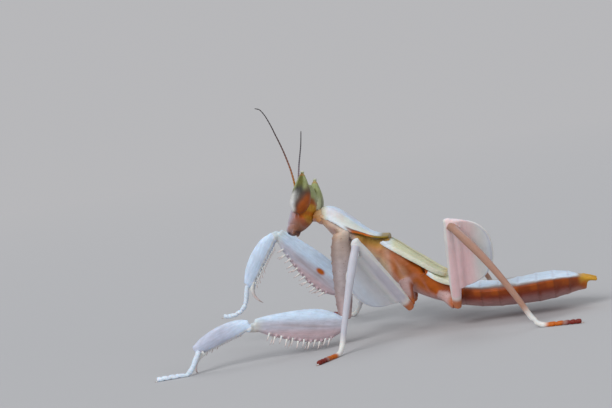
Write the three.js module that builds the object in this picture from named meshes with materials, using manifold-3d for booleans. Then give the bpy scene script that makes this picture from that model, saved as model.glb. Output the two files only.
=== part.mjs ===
// An orchid mantis nymph at life size, standing. Millimetres, +Z up, the floor at Z = 0.
// The head points towards -X and the animal's left side towards -Y.
import * as THREE from 'three';
import { LoftGeometry } from 'three/addons/geometries/LoftGeometry.js';
import { mergeVertices } from 'three/addons/utils/BufferGeometryUtils.js';
import Module from 'manifold-3d';

const wasm = await Module();
wasm.setup();

// ---------------------------------------------------------------- driving sizes

const GAP = 0.12; // clearance between neighbouring pieces
const MERGE = 1e-4; // vertices closer than this are one
const PLATE = 0.5; // thickness of lobes and wing pads
const FACETS = 8; // facets round a limb

const HEAD = { low: -2.15, high: 3.1 }; // lowest and highest place of the head's case over its own origin
const EYE = { low: -0.7, top: 4.3, apart: 2.15 };
const MOUTH_LOW = -2.9;
const ANTENNA = { root: 0.62, tip: 0.5 };

// Lengths of the leg segments.
const LEG = {
  fore: { coxa: 10.6, femur: 11.1, tibia: 7.4, femurDepth: 3.95, tibiaDepth: 2.05 },
  mid: { coxa: 3.5, femur: 12.1, tibia: 11.8, bow: 0.15, lobe: 4.3, lobeStart: 1.6, lobeEnd: 10.2 },
  hind: { coxa: 2.9, femur: 12.2, tibia: 14.4, bow: 0.8, lobe: 4.9, lobeStart: -0.4, lobeEnd: 9.4 },
};
const CLAW = 2.6; // spur at the end of a fore tibia
const TARSUS = 5.2;
const SOLE = 0.24; // height of a tarsus's middle line over the floor
const ANKLE = 0.95; // height of a standing tibia's end
const KNEE = { fore: 0.68, walking: 0.64 }; // radius of a femur's round end
const WRIST = 2.6; // height of the resting fore tibia's end, which leaves room for its claw

// The stance: headings run from the tail (0) towards the right side (90), rises are above level.
const STANCE = {
  fore_left: {
    kind: 'fore',
    hip: [-16.88, -2.1, 12.8],
    coxa: [-109, -77.5],
    femur: [-154, 10.5],
    tibia: -168,
    stand: WRIST,
    flexor: [0, 0, -1],
    tarsus: -165,
  },
  fore_right: {
    kind: 'fore',
    hip: [-16.4, 2.1, 13.55],
    coxa: [112, -57.5],
    femur: [194, 50.5],
    tibia: 178,
    drop: -50.5,
    flexor: [-0.78, -0.15, -0.61],
    tarsus: 180,
  },
  mid_left: {
    kind: 'mid',
    hip: [-10.2, -1.8, 6.2],
    coxa: [-78, -63],
    femur: [-124, 49],
    tibia: -155,
    stand: ANKLE,
    flexor: [-0.82, -0.15, -0.55],
    tarsus: -115,
  },
  mid_right: {
    kind: 'mid',
    hip: [-10.2, 1.8, 6.2],
    coxa: [78, -63],
    femur: [111, 36.5],
    tibia: 135,
    stand: ANKLE,
    flexor: [-0.82, 0.35, -0.45],
    tarsus: 135,
  },
  hind_left: {
    kind: 'hind',
    hip: [-6.1, -1.7, 4.2],
    coxa: [-45, -37],
    femur: [-84.5, 59.5],
    tibia: -8,
    stand: ANKLE,
    flexor: [0.99, -0.05, -0.1],
    tarsus: -12,
  },
  hind_right: {
    kind: 'hind',
    hip: [-6.1, 1.7, 4.2],
    coxa: [45, -37],
    femur: [95, 40],
    tibia: 67,
    stand: ANKLE,
    flexor: [0.85, 0.3, -0.4],
    tarsus: 40,
  },
};

const SURFACE = {
  cuticle: { color: 0xf1efe9, roughness: 0.5 },
  blush: { color: 0xe2b9b0, roughness: 0.5 },
  amber: { color: 0xc4742f, roughness: 0.5 },
  cream: { color: 0xf0eccb, roughness: 0.5 },
  eye: { color: 0xa8b07a, roughness: 0.2 },
  feeler: { color: 0x5a463e, roughness: 0.6 },
};

// ---------------------------------------------------------------- tools

const point = (x, y, z) => new THREE.Vector3(x, y, z);
const radians = THREE.MathUtils.degToRad;
const lerp = THREE.MathUtils.lerp;

// A unit vector from a heading and a rise in degrees.
function aim(heading, rise) {
  const level = Math.cos(radians(rise));
  return point(
    level * Math.cos(radians(heading)),
    level * Math.sin(radians(heading)),
    Math.sin(radians(rise)),
  );
}

// A smooth curve through [place, value] pairs, read at any place between them.
function profile(...pairs) {
  const places = pairs.map((pair) => pair[0]);
  const values = pairs.map((pair) => pair[1]);
  const curve = new THREE.CubicInterpolant(places, values, 1);
  return (place) => curve.evaluate(THREE.MathUtils.clamp(place, places[0], places.at(-1)))[0];
}

// The part of a vector that is square to an axis, as a unit vector.
function square(vector, axis) {
  return vector.clone().addScaledVector(axis, -vector.dot(axis) / axis.lengthSq()).normalize();
}

// A closed solid along a path. Width lies along "across", depth square to it.
function limb({ path, across, width, depth, steps, facets = FACETS, grow = 0 }) {
  const rings = [];
  for (let i = 0; i <= steps; i++) {
    const t = i / steps;
    const forward = path.getTangent(t);
    const side = square(across, forward);
    const rise = forward.clone().cross(side);
    const centre = path.getPoint(t);
    if (i === 0) centre.addScaledVector(forward, -grow);
    if (i === steps) centre.addScaledVector(forward, grow);
    const ring = [];
    for (let j = 0; j < facets; j++) {
      const angle = (2 * Math.PI * j) / facets;
      const reach = Math.cos(angle) * (width(t) / 2 + grow);
      const lift = Math.sin(angle) * (depth(t) / 2 + grow);
      ring.push(centre.clone().addScaledVector(side, reach).addScaledVector(rise, lift));
    }
    rings.push(ring);
  }
  return new LoftGeometry(rings, { capStart: true, capEnd: true });
}

const straight = (from, to) => new THREE.LineCurve3(from, to);
const curved = (...points) => new THREE.CatmullRomCurve3(points);

// A solid from a closed geometry, its shared vertices merged.
function solid(geometry) {
  const bare = new THREE.BufferGeometry();
  bare.setAttribute('position', geometry.getAttribute('position'));
  if (geometry.index) bare.setIndex(geometry.index);
  const merged = mergeVertices(bare, MERGE);
  const mesh = new wasm.Mesh({
    numProp: 3,
    vertProperties: merged.attributes.position.array,
    triVerts: new Uint32Array(merged.index.array),
  });
  return new wasm.Manifold(mesh);
}

// Several closed geometries as one solid, and a solid cut by several closed geometries.
const joined = (...geometries) => geometries.map(solid).reduce((whole, next) => whole.add(next));
const carved = (body, ...cutters) => cutters.map(solid).reduce((whole, next) => whole.subtract(next), body);

// A named node from a solid.
function piece(name, body, surface) {
  const mesh = body.getMesh();
  const geometry = new THREE.BufferGeometry();
  geometry.setAttribute('position', new THREE.BufferAttribute(mesh.vertProperties, 3));
  geometry.setIndex(new THREE.BufferAttribute(mesh.triVerts, 1));
  geometry.computeVertexNormals();
  const material = new THREE.MeshStandardMaterial({ ...SURFACE[surface], metalness: 0 });
  const made = new THREE.Mesh(geometry, material);
  made.name = name;
  return made;
}

// A group that holds pieces.
function group(...pieces) {
  const made = new THREE.Group();
  made.add(...pieces);
  return made;
}

// ---------------------------------------------------------------- head

// The head's own frame: the face looks to -X, the origin is in its middle at the height of the neck.
const headGroup = new THREE.Group();
headGroup.rotation.set(radians(-19), radians(5), radians(-14), 'ZYX');
headGroup.position.set(-21.3, 0, 15.9);
headGroup.updateMatrix();

function headCapsule(grow = 0) {
  const { low, high } = HEAD;
  const middle = profile([low, -0.95], [-1.6, -0.66], [-0.8, 0.1], [0.2, 0.4], [high, 0.85]);
  const depth = profile(
    [low, 1.65], [-1.6, 2.4], [-0.8, 2.75], [0.4, 2.6], [1.6, 2.2], [2.5, 1.5], [high, 0.6],
  );
  const width = profile(
    [low, 1.4], [-1.6, 2.1], [-0.8, 3.4], [0.1, 4.9], [0.9, 5.4], [1.6, 4.4], [2.4, 2.4], [high, 0.7],
  );
  const heights = [0, 0.2, 0.4, 0.6, 0.8, 1].map((t) => lerp(low, high, t));
  return limb({
    path: curved(...heights.map((z) => point(middle(z), 0, z))),
    across: point(0, 1, 0),
    width: (t) => width(lerp(low, high, t)),
    depth: (t) => depth(lerp(low, high, t)),
    steps: 10,
    facets: 12,
    grow,
  });
}

// A conical eye that ends in a small knob.
function eye(side, grow = 0) {
  const size = profile(
    [0, 0.8], [0.1, 1.8], [0.24, 2.32], [0.38, 2.45], [0.55, 2.32], [0.69, 1.88], [0.8, 1.3], [0.92, 0.6],
    [1, 0.24],
  );
  const y = side * EYE.apart;
  return limb({
    path: curved(point(0.25, y, EYE.low), point(0.74, y, 1.3), point(0.7, 0.95 * y, EYE.top)),
    across: point(0, 1, 0),
    width: (t) => size(t) * 0.95,
    depth: size,
    steps: 9,
    facets: 12,
    grow,
  });
}

// The lip and jaws, and a pair of palps on each side.
function mouthparts() {
  const jaws = limb({
    path: straight(point(-1.0, 0, HEAD.low - 2 * GAP), point(-1.15, 0, MOUTH_LOW)),
    across: point(0, 1, 0),
    width: profile([0, 1.35], [0.5, 1.2], [1, 0.6]),
    depth: profile([0, 1.45], [0.5, 1.25], [1, 0.8]),
    steps: 4,
  });
  const palps = [-1, 1].map((side) =>
    limb({
      path: curved(
        point(-0.55, side * 0.35, -2.5),
        point(-0.4, side * 0.65, -2.65),
        point(-0.75, side * 0.75, -2.85),
      ),
      across: point(0, 1, 0),
      width: () => 0.4,
      depth: () => 0.4,
      steps: 3,
      facets: 5,
    }),
  );
  return carved(joined(jaws, ...palps), headCapsule(GAP));
}

// The left antenna swings forwards and hooks at its tip, the right one stands up.
const ANTENNA_PATHS = {
  left: [
    [-0.95, -0.45, 0.7], [-0.65, -0.8, 2.8], [-1.6, -1.95, 6.3], [-2.65, -2.8, 8.7],
    [-3.65, -3.4, 10.65], [-4.45, -3.8, 11.65], [-5.05, -3.95, 11.8],
  ],
  right: [[-0.95, 0.45, 0.7], [-0.75, 0.4, 3.2], [-1.05, 1.1, 5.9], [-1.5, 2.45, 8.75], [-1.95, 3.4, 10.75]],
};

function antenna(side, grow = 0) {
  const path = curved(...ANTENNA_PATHS[side].map((place) => point(...place)));
  const size = (t) => lerp(ANTENNA.root, ANTENNA.tip, t);
  return limb({ path, across: point(0, 1, 0), width: size, depth: size, steps: 12, facets: 6, grow });
}

const headHoles = [eye(-1, GAP), eye(1, GAP), antenna('left', GAP), antenna('right', GAP)];
headGroup.add(
  piece('head', carved(solid(headCapsule()), ...headHoles), 'blush'),
  piece('mouthparts', mouthparts(), 'blush'),
  piece('eye_left', carved(solid(eye(-1)), antenna('left', GAP)), 'eye'),
  piece('eye_right', carved(solid(eye(1)), antenna('right', GAP)), 'eye'),
  piece('antenna_left', solid(antenna('left')), 'feeler'),
  piece('antenna_right', solid(antenna('right')), 'feeler'),
);

// ---------------------------------------------------------------- trunk

// The trunk's profiles run along X: the height of its side margin, its half width there,
// and how far the back rises over the margin and the belly hangs under it.
const trunkMargin = profile(
  [-12.6, 10.6], [-11.2, 9.3], [-9.7, 7.9], [-8.2, 6.75], [-6.6, 5.6], [-4.6, 4.6], [-3, 4.15], [-1, 3.9],
  [1, 3.86], [3, 3.94], [5, 4.04], [7, 4.1], [8.7, 3.9], [9.8, 3.6], [10.7, 3.2],
);
const trunkWidth = profile(
  [-12.6, 1.3], [-11.2, 2.0], [-9.7, 2.4], [-6.6, 2.5], [-4.6, 2.85], [-3, 3.4], [-1, 3.9], [1, 4.25],
  [3, 4.4], [5, 4.3], [7, 3.75], [8.7, 2.75], [9.8, 1.75], [10.7, 0.8],
);
const trunkRise = profile(
  [-12.6, 0.8], [-11.2, 0.7], [-9.7, 0.45], [-8.2, 0.22], [-6.6, 0.1], [-5.2, 0.2],
  [-3, 0.6], [-1, 0.5], [1, 0.3], [7, 0.3], [10.7, 0.2],
);
const trunkDrop = profile(
  [-12.6, 1.2], [-11.2, 2.2], [-9.7, 2.7], [-6.6, 2.4], [-4.6, 2.15], [1, 2.45],
  [5, 2.7], [7, 2.6], [8.7, 2.2], [9.8, 1.8], [10.7, 1.2],
);

// The frame of the trunk at a place along X: a point on its margin line and the two directions there.
function trunkFrame(x) {
  const step = 0.05;
  const forward = point(2 * step, 0, trunkMargin(x + step) - trunkMargin(x - step)).normalize();
  return { centre: point(x, 0, trunkMargin(x)), forward, up: point(-forward.z, 0, forward.x) };
}

// A length of the trunk. Flare widens it towards its rear edge.
function trunk(from, to, { steps = 3, facets = 12, flare = 0, grow = 0 } = {}) {
  const rings = [];
  for (let i = 0; i <= steps; i++) {
    const x = lerp(from, to, i / steps);
    const { centre, up } = trunkFrame(x);
    const swell = 1 + flare * (i / steps);
    const ring = [];
    for (let j = 0; j < facets; j++) {
      const angle = (2 * Math.PI * j) / facets;
      const height = Math.sin(angle) > 0 ? trunkRise(x) : trunkDrop(x);
      const across = point(0, -Math.cos(angle) * (trunkWidth(x) * swell + grow), 0);
      ring.push(centre.clone().add(across).addScaledVector(up, Math.sin(angle) * (height + grow)));
    }
    rings.push(ring.reverse());
  }
  return new LoftGeometry(rings, { capStart: true, capEnd: true });
}

// A wing pad: a thin flap that lies on the back and slopes out past the margin.
function wingPad(side, { from, to, inner, outer, lift, spread }) {
  const steps = 7;
  const columns = 4;
  const rings = [];
  for (let i = 0; i <= steps; i++) {
    const t = i / steps;
    const x = lerp(from, to, t);
    const { centre, up } = trunkFrame(x);
    const reach = outer * Math.sqrt(Math.max(0.04, 1 - Math.abs(1.5 * t - 0.72) ** 2.6));
    const near = Math.min(inner + 0.5 * t, reach - 0.3);
    const raise = lerp(GAP, lift, Math.min(1, 1.8 * t));
    const edge = [];
    for (let k = 0; k < columns; k++) {
      const across = lerp(near, reach, k / (columns - 1));
      const arch = Math.sqrt(1 - (across / (trunkWidth(x) + spread)) ** 2);
      edge.push([across, trunkRise(x) * arch + raise]);
    }
    const over = edge.map(([across, height]) => [across, height + PLATE]);
    const ring = [...over, ...edge.reverse()].map(([across, height]) =>
      centre.clone().add(point(0, side * across, 0)).addScaledVector(up, height),
    );
    rings.push(side > 0 ? ring.reverse() : ring);
  }
  return new LoftGeometry(rings, { capStart: true, capEnd: true });
}

// ---------------------------------------------------------------- front of the trunk

const pronotumRear = -11.35;
const pronotumFront = -18.85;
const pronotumTop = profile(
  [pronotumFront, 15.95], [-18.1, 16.1], [-17.0, 15.65], [-15.8, 14.7],
  [-14.6, 13.45], [-13.2, 12.2], [-12.1, 11.8], [pronotumRear, 11.75],
);
const pronotumMargin = profile(
  [pronotumFront, 15.1], [-17.8, 14.85], [-16.2, 13.65], [-15.0, 12.75],
  [-13.6, 12.05], [-12.2, 11.7], [pronotumRear, 11.6],
);
const pronotumWidth = profile(
  [pronotumFront, 1.2], [-18.3, 2.0], [-17.2, 2.75], [-16.2, 2.9],
  [-14.8, 2.5], [-13.4, 2.2], [-12.2, 2.3], [pronotumRear, 2.0],
);

const bulk = profile([pronotumFront, 0.3], [-13.5, 0.3], [pronotumRear, 0]); // added thickness at the crest

// The saddle-shaped shield over the front of the trunk.
function pronotum(grow = 0) {
  const steps = 11;
  const columns = 7;
  const rings = [];
  for (let i = 0; i <= steps; i++) {
    const x = lerp(pronotumFront - grow, pronotumRear + grow, i / steps);
    const over = [];
    const under = [];
    for (let k = 0; k < columns; k++) {
      const share = lerp(-1, 1, k / (columns - 1));
      const arch = Math.sqrt(Math.max(0, 1 - share ** 2));
      const y = share * (pronotumWidth(x) + grow);
      const top = lerp(pronotumMargin(x), pronotumTop(x), arch);
      over.unshift(point(x, y, top + grow));
      under.push(point(x, y, top - PLATE - bulk(x) * arch - grow));
    }
    rings.push([...over, ...under]);
  }
  return new LoftGeometry(rings, { capStart: true, capEnd: true });
}

function prothorax() {
  return limb({
    path: curved(
      point(-18.7, 0, 14.55), point(-17.6, 0, 13.95), point(-16.2, 0, 12.75),
      point(-14.8, 0, 11.55), point(-13.2, 0, 10.3), point(-12.3, 0, 9.8),
    ),
    across: point(0, 1, 0),
    width: profile([0, 2.0], [0.2, 3.0], [0.4, 3.4], [0.7, 2.9], [1, 2.8]),
    depth: profile([0, 1.6], [0.2, 2.6], [0.4, 3.2], [0.7, 2.8], [1, 2.6]),
    steps: 7,
    facets: 10,
  });
}

function neck() {
  return limb({
    path: straight(point(-20.6, -0.1, 15.35), point(-18.95 - GAP, 0, 14.85)),
    across: point(0, 1, 0),
    width: () => 1.8,
    depth: () => 1.7,
    steps: 2,
    facets: 10,
  });
}

// ---------------------------------------------------------------- legs

// The joints of one leg, worked out from its segment lengths and its stance.
function joints(stance) {
  const size = LEG[stance.kind];
  const hip = point(...stance.hip);
  const trochanter = hip.clone().addScaledVector(aim(...stance.coxa), size.coxa);
  const femurAim = aim(...stance.femur);
  const knee = trochanter.clone().addScaledVector(femurAim, size.femur);
  let drop = stance.drop;
  if (stance.stand) drop = -THREE.MathUtils.radToDeg(Math.asin((knee.z - stance.stand) / size.tibia));
  const tibiaAim = aim(stance.tibia, drop);
  const ankle = knee.clone().addScaledVector(tibiaAim, size.tibia);
  const flexor = square(point(...stance.flexor), femurAim);
  return { hip, trochanter, knee, ankle, femurAim, tibiaAim, flexor, normal: femurAim.clone().cross(flexor) };
}

function coxa(stance, place, grow = 0) {
  const fore = stance.kind === 'fore';
  const size = fore
    ? { width: [[0, 1.3], [0.15, 1.7], [0.5, 1.6], [0.9, 1.3], [1, 1.0]],
        depth: [[0, 1.8], [0.15, 2.5], [0.5, 2.2], [0.9, 1.8], [1, 1.3]] }
    : { width: [[0, 1.5], [1, 1.1]], depth: [[0, 1.7], [1, 1.2]] };
  const along = place.trochanter.clone().sub(place.hip).normalize();
  const end = place.trochanter.clone().addScaledVector(along, fore ? -0.55 : -0.4);
  return limb({
    path: straight(place.hip, end),
    across: point(0, 1, 0),
    width: profile(...size.width),
    depth: profile(...size.depth),
    steps: fore ? 5 : 3,
    grow,
  });
}

// The path of a fore femur bows towards its spiny edge.
function foreFemur(place) {
  const bow = place.trochanter.clone().lerp(place.knee, 0.4).addScaledVector(place.flexor, 0.35);
  const path = new THREE.QuadraticBezierCurve3(place.trochanter, bow, place.knee);
  const deep = LEG.fore.femurDepth;
  const depth = profile(
    [0, 0.3 * deep], [0.08, 0.56 * deep], [0.25, 0.92 * deep], [0.4, deep],
    [0.55, 0.94 * deep], [0.79, 0.7 * deep], [0.94, 0.48 * deep], [1, 0.32 * deep],
  );
  const shaft = limb({
    path,
    across: place.normal,
    width: profile([0, 1.0], [0.15, 1.35], [0.5, 1.3], [0.9, 1.0], [1, 0.8]),
    depth,
    steps: 8,
  });
  const spines = [];
  const inner = 12;
  const outer = 4;
  for (let i = 0; i < inner; i++) {
    const t = lerp(0.2, 0.86, i / (inner - 1));
    spines.push(spine(path, t, depth, place, { across: 0.3, height: i % 2 ? 0.35 : 0.6, lean: 0.2 }));
  }
  for (let i = 0; i < outer; i++) {
    const t = lerp(0.26, 0.8, i / (outer - 1));
    spines.push(spine(path, t, depth, place, { across: -0.3, height: 0.7, lean: 0.35 }));
  }
  return joined(shaft, kneeCap(place, KNEE.fore, 0.35), ...spines);
}

// The flat round end of a femur, where the tibia turns.
function kneeCap(place, radius, inward) {
  const cap = new THREE.IcosahedronGeometry(radius).scale(1, 1, 0.35 / radius);
  const basis = new THREE.Matrix4().makeBasis(place.femurAim, place.flexor, place.normal);
  const centre = place.knee.clone().addScaledVector(place.flexor, inward);
  return cap.applyMatrix4(basis.setPosition(centre));
}

// A spine on the flexor edge of a limb: a thin pyramid that leans along it.
function spine(path, t, depth, place, { across, height, lean }) {
  const root = 0.3;
  const thick = 0.2;
  const cone = new THREE.ConeGeometry(thick, height + root, 4).translate(0, (height - root) / 2, 0);
  const aimed = place.flexor.clone().addScaledVector(path.getTangent(t), lean).normalize();
  cone.applyQuaternion(new THREE.Quaternion().setFromUnitVectors(point(0, 1, 0), aimed));
  const edge = path.getPoint(t).addScaledVector(place.flexor, depth(t) / 2);
  const foot = edge.addScaledVector(place.normal, across);
  return cone.translate(foot.x, foot.y, foot.z);
}

// The parts of a fore tibia: its shaft, its comb of spines and its curved claw.
function foreTibia(place, grow = 0) {
  const flexor = square(place.femurAim.clone().negate(), place.tibiaAim);
  const start = place.knee.clone().addScaledVector(place.tibiaAim, 0.6).addScaledVector(flexor, -0.3);
  const bow = place.knee.clone().lerp(place.ankle, 0.42).addScaledVector(flexor, -1.05);
  const path = new THREE.QuadraticBezierCurve3(start, bow, place.ankle);
  const deep = LEG.fore.tibiaDepth;
  const depth = profile(
    [0, 0.55 * deep], [0.12, 0.83 * deep], [0.35, deep], [0.7, deep], [0.92, 0.8 * deep], [1, 0.55 * deep],
  );
  const shaft = limb({
    path,
    across: place.normal,
    width: profile([0, 0.75], [0.5, 1.0], [1, 0.8]),
    depth,
    steps: 6,
    grow,
  });
  const beyond = (ahead, inward) =>
    place.ankle.clone().addScaledVector(place.tibiaAim, ahead * CLAW).addScaledVector(flexor, inward * CLAW);
  const claw = limb({
    path: new THREE.QuadraticBezierCurve3(beyond(-0.26, 0.11), beyond(0.4, 0.25), beyond(0.45, 0.95)),
    across: place.normal,
    width: profile([0, 0.7], [0.5, 0.5], [1, 0.16]),
    depth: profile([0, 1.1], [0.3, 0.8], [0.6, 0.5], [1, 0.16]),
    steps: 5,
    facets: 6,
    grow,
  });
  if (grow) return [shaft, claw];
  const spines = [];
  const teeth = 9;
  const comb = { flexor, normal: place.normal };
  for (let i = 0; i < teeth; i++) {
    const t = lerp(0.22, 0.93, i / (teeth - 1));
    spines.push(spine(path, t, depth, comb, { across: 0.15, height: 0.55, lean: 0.7 }));
  }
  return [shaft, claw, ...spines];
}

// The petal-like lobe on a mid or hind femur: half of a rounded oblong, its straight side in the shaft.
function femurLobe(size, place) {
  const outline = [];
  const points = 11;
  const centre = (size.lobeStart + size.lobeEnd) / 2;
  const half = (size.lobeEnd - size.lobeStart) / 2;
  const power = 2 / 2.4;
  for (let i = 0; i < points; i++) {
    const angle = Math.PI * (1 - i / (points - 1));
    const along = Math.sign(Math.cos(angle)) * Math.abs(Math.cos(angle)) ** power;
    outline.push(new THREE.Vector2(centre + half * along, size.lobe * Math.sin(angle) ** power));
  }
  const plate = new THREE.ExtrudeGeometry(new THREE.Shape(outline), { depth: PLATE, bevelEnabled: false });
  plate.translate(0, 0, -PLATE / 2);
  const along = place.femurAim.clone().negate();
  const basis = new THREE.Matrix4().makeBasis(along, place.flexor, along.clone().cross(place.flexor));
  return plate.applyMatrix4(basis.setPosition(place.knee));
}

function walkingFemur(stance, place) {
  const size = LEG[stance.kind];
  const shaft = limb({
    path: straight(place.trochanter, place.knee.clone().addScaledVector(place.femurAim, 0.35)),
    across: place.normal,
    width: profile([0, 0.8], [0.12, 1.05], [0.5, 0.95], [0.9, 1.0], [1, 0.7]),
    depth: profile([0, 0.9], [0.12, 1.3], [0.5, 1.2], [0.9, 1.15], [1, 0.7]),
    steps: 5,
  });
  return joined(shaft, femurLobe(size, place), kneeCap(place, KNEE.walking, 0.05));
}

function walkingTibia(stance, place, grow = 0) {
  const start = place.knee.clone().addScaledVector(place.tibiaAim, 0.45);
  const outward = square(place.femurAim, place.tibiaAim);
  const bend = start.clone().lerp(place.ankle, 0.45).addScaledVector(outward, 2 * LEG[stance.kind].bow);
  const shaft = limb({
    path: new THREE.QuadraticBezierCurve3(start, bend, place.ankle),
    across: place.normal,
    width: profile([0, 0.75], [0.1, 0.95], [0.5, 0.7], [1, 0.62]),
    depth: profile([0, 0.9], [0.1, 1.2], [0.4, 0.95], [1, 0.66]),
    steps: 5,
    grow,
  });
  return [shaft];
}

// A foot of five joints, flat underneath where it stands. The raised one hangs and curls forwards:
// its places are shares of its length from the wrist, along X and Z.
const HANGING = [[-0.11, -0.45], [-0.27, -0.6], [-0.47, -0.66], [-0.66, -0.64]];

function tarsus(stance, place) {
  const stands = stance.stand !== undefined;
  const start = place.ankle.clone().addScaledVector(place.tibiaAim, 0.15 + GAP);
  const ahead = aim(stance.tarsus, 0);
  let path;
  if (stands) {
    const fore = stance.kind === 'fore';
    if (fore) start.addScaledVector(place.normal, 0.9).addScaledVector(place.tibiaAim, -0.5);
    const heel = start.clone().addScaledVector(ahead, fore ? 1.6 : 0.9).setZ(SOLE);
    const ball = start.clone().addScaledVector(ahead, 0.6 * TARSUS).setZ(SOLE);
    const toe = start.clone().addScaledVector(ahead, TARSUS).setZ(SOLE);
    path = curved(start, heel, ball, toe);
  } else {
    start.addScaledVector(place.tibiaAim, -0.35).addScaledVector(place.flexor, 0.35);
    path = curved(start, ...HANGING.map(([x, z]) => start.clone().add(point(x * TARSUS, 0, z * TARSUS))));
  }
  const knuckles = 5;
  const size = (t) => 0.6 - 0.08 * Math.cos(2 * Math.PI * knuckles * t);
  const across = stands ? point(0, 0, 1) : place.normal;
  const foot = limb({ path, across, width: size, depth: size, steps: 10, facets: 6 });
  const floor = new THREE.BoxGeometry(100, 100, 10).translate(0, 0, -5);
  return carved(solid(foot), floor);
}

function leg(name) {
  const stance = STANCE[name];
  const place = joints(stance);
  const fore = stance.kind === 'fore';
  const tibia = (grow) => (fore ? foreTibia(place, grow) : walkingTibia(stance, place, grow));
  const femur = fore ? foreFemur(place) : walkingFemur(stance, place);
  const foot = tarsus(stance, place);
  const pieces = group(
    piece('coxa_' + name, carved(solid(coxa(stance, place)), ...(fore ? [pronotum(GAP)] : [])), 'blush'),
    piece('femur_' + name, carved(femur, ...tibia(GAP), coxa(stance, place, GAP)), 'cuticle'),
    piece('tibia_' + name, joined(...tibia(0)), 'cuticle'),
    piece('tarsus_' + name, carved(foot, ...tibia(GAP)), 'amber'),
  );
  return { pieces, socket: coxa(stance, place, GAP) };
}

// ---------------------------------------------------------------- assembly

const legs = Object.fromEntries(Object.keys(STANCE).map((name) => [name, leg(name)]));
const sockets = (kind) => ['left', 'right'].map((side) => legs[kind + '_' + side].socket);

const meso = { from: -12.3, to: -8.4, steps: 5 };
const meta = { from: -8.4, to: -5.2, steps: 4 };

const shield = solid(pronotum());
const mesoSpace = trunk(meso.from, meso.to, { steps: meso.steps, grow: GAP });
const chest = carved(solid(prothorax()), pronotum(GAP), ...sockets('fore'), mesoSpace);

const headSpace = headCapsule(GAP).applyMatrix4(headGroup.matrix);
const throat = carved(solid(neck()), headSpace, pronotum(GAP));

const abdomenEnds = [-5.2, -3.6, -1.6, 0.5, 2.7, 4.9, 6.9, 8.6, 10.7];

function tergite(index) {
  const from = abdomenEnds[index] + GAP;
  return trunk(from, abdomenEnds[index + 1], { flare: 0.035 });
}

function cercus(side, grow = 0) {
  return limb({
    path: straight(point(10.3, side * 0.55, 3.5), point(11.8, side * 0.85, 3.1)),
    across: point(0, 1, 0),
    width: profile([0, 0.7], [0.4, 0.75], [1, 0.3]),
    depth: profile([0, 0.6], [0.4, 0.6], [1, 0.3]),
    steps: 4,
    facets: 6,
    grow,
  });
}

const mesoBody = solid(trunk(meso.from, meso.to, { steps: meso.steps }));
const metaBody = solid(trunk(meta.from + GAP, meta.to, { steps: meta.steps }));
const thorax = group(
  piece('pronotum', shield, 'cuticle'),
  piece('prothorax', chest, 'blush'),
  piece('mesothorax', carved(mesoBody, ...sockets('mid'), pronotum(GAP)), 'amber'),
  piece('metathorax', carved(metaBody, ...sockets('mid'), ...sockets('hind')), 'amber'),
);

const hindPad = { from: -7.9, to: -3.3, inner: 0.6, outer: 3.3, lift: GAP, spread: 1.6 };
const forePad = { from: -12.6, to: -5.9, inner: 0.55, outer: 3.15, lift: PLATE + 2 * GAP, spread: 1.2 };
const pads = group(
  ...[[-1, 'left'], [1, 'right']].flatMap(([side, name]) => [
    piece('forewing_pad_' + name, carved(solid(wingPad(side, forePad)), pronotum(GAP)), 'cream'),
    piece('hindwing_pad_' + name, solid(wingPad(side, hindPad)), 'cream'),
  ]),
);

const abdomen = new THREE.Group();
for (let i = 0; i < abdomenEnds.length - 1; i++) {
  const cutters = [];
  if (i === 0) cutters.push(...sockets('hind'));
  if (i === abdomenEnds.length - 2) cutters.push(cercus(-1, GAP), cercus(1, GAP));
  abdomen.add(piece('abdomen_' + (i + 1), carved(solid(tergite(i)), ...cutters), 'cuticle'));
}
abdomen.add(piece('cercus_left', solid(cercus(-1)), 'amber'));
abdomen.add(piece('cercus_right', solid(cercus(1)), 'amber'));

const mantis = group(headGroup, piece('neck', throat, 'blush'), thorax, pads, abdomen);
for (const { pieces } of Object.values(legs)) mantis.add(pieces);

// The origin is on the floor under the middle of the whole model.
const reach = new THREE.Box3().setFromObject(mantis);
const middle = reach.getCenter(new THREE.Vector3());
mantis.position.set(-middle.x, -middle.y, 0);

export default group(mantis);
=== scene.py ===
"""An orchid mantis nymph at life size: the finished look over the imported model.

Shapes are worked in millimetres and set down in metres, each piece at the origin with its place in its mesh.
"""

from math import cos, pi, radians, sin

import bmesh
import bpy
import numpy as np
from bpy.props import FloatProperty, FloatVectorProperty, IntProperty, PointerProperty
from mathutils import Matrix, Vector
from mathutils.bvhtree import BVHTree


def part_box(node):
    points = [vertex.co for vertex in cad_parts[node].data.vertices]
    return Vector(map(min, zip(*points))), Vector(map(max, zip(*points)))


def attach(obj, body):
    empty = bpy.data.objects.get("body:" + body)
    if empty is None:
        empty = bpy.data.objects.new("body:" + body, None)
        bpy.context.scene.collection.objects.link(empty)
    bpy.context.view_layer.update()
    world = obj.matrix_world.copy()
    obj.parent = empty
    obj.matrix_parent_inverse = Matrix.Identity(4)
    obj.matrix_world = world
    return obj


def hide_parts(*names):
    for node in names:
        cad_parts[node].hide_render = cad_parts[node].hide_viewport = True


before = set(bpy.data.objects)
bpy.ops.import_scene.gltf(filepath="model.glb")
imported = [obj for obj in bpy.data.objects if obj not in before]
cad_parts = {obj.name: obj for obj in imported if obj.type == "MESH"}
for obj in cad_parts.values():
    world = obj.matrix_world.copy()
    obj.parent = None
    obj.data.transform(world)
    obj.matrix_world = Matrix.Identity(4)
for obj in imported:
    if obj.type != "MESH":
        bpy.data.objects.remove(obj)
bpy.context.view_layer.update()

bl_info = {
    "name": "Orchid Mantis Nymph",
    "version": (1, 0, 0),
    "blender": (4, 5, 0),
    "location": "3D View > Sidebar > Mantis",
    "description": "Skins, eyes, feelers, wing pads, legs and stage of an orchid mantis nymph",
    "category": "Object",
}

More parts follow.
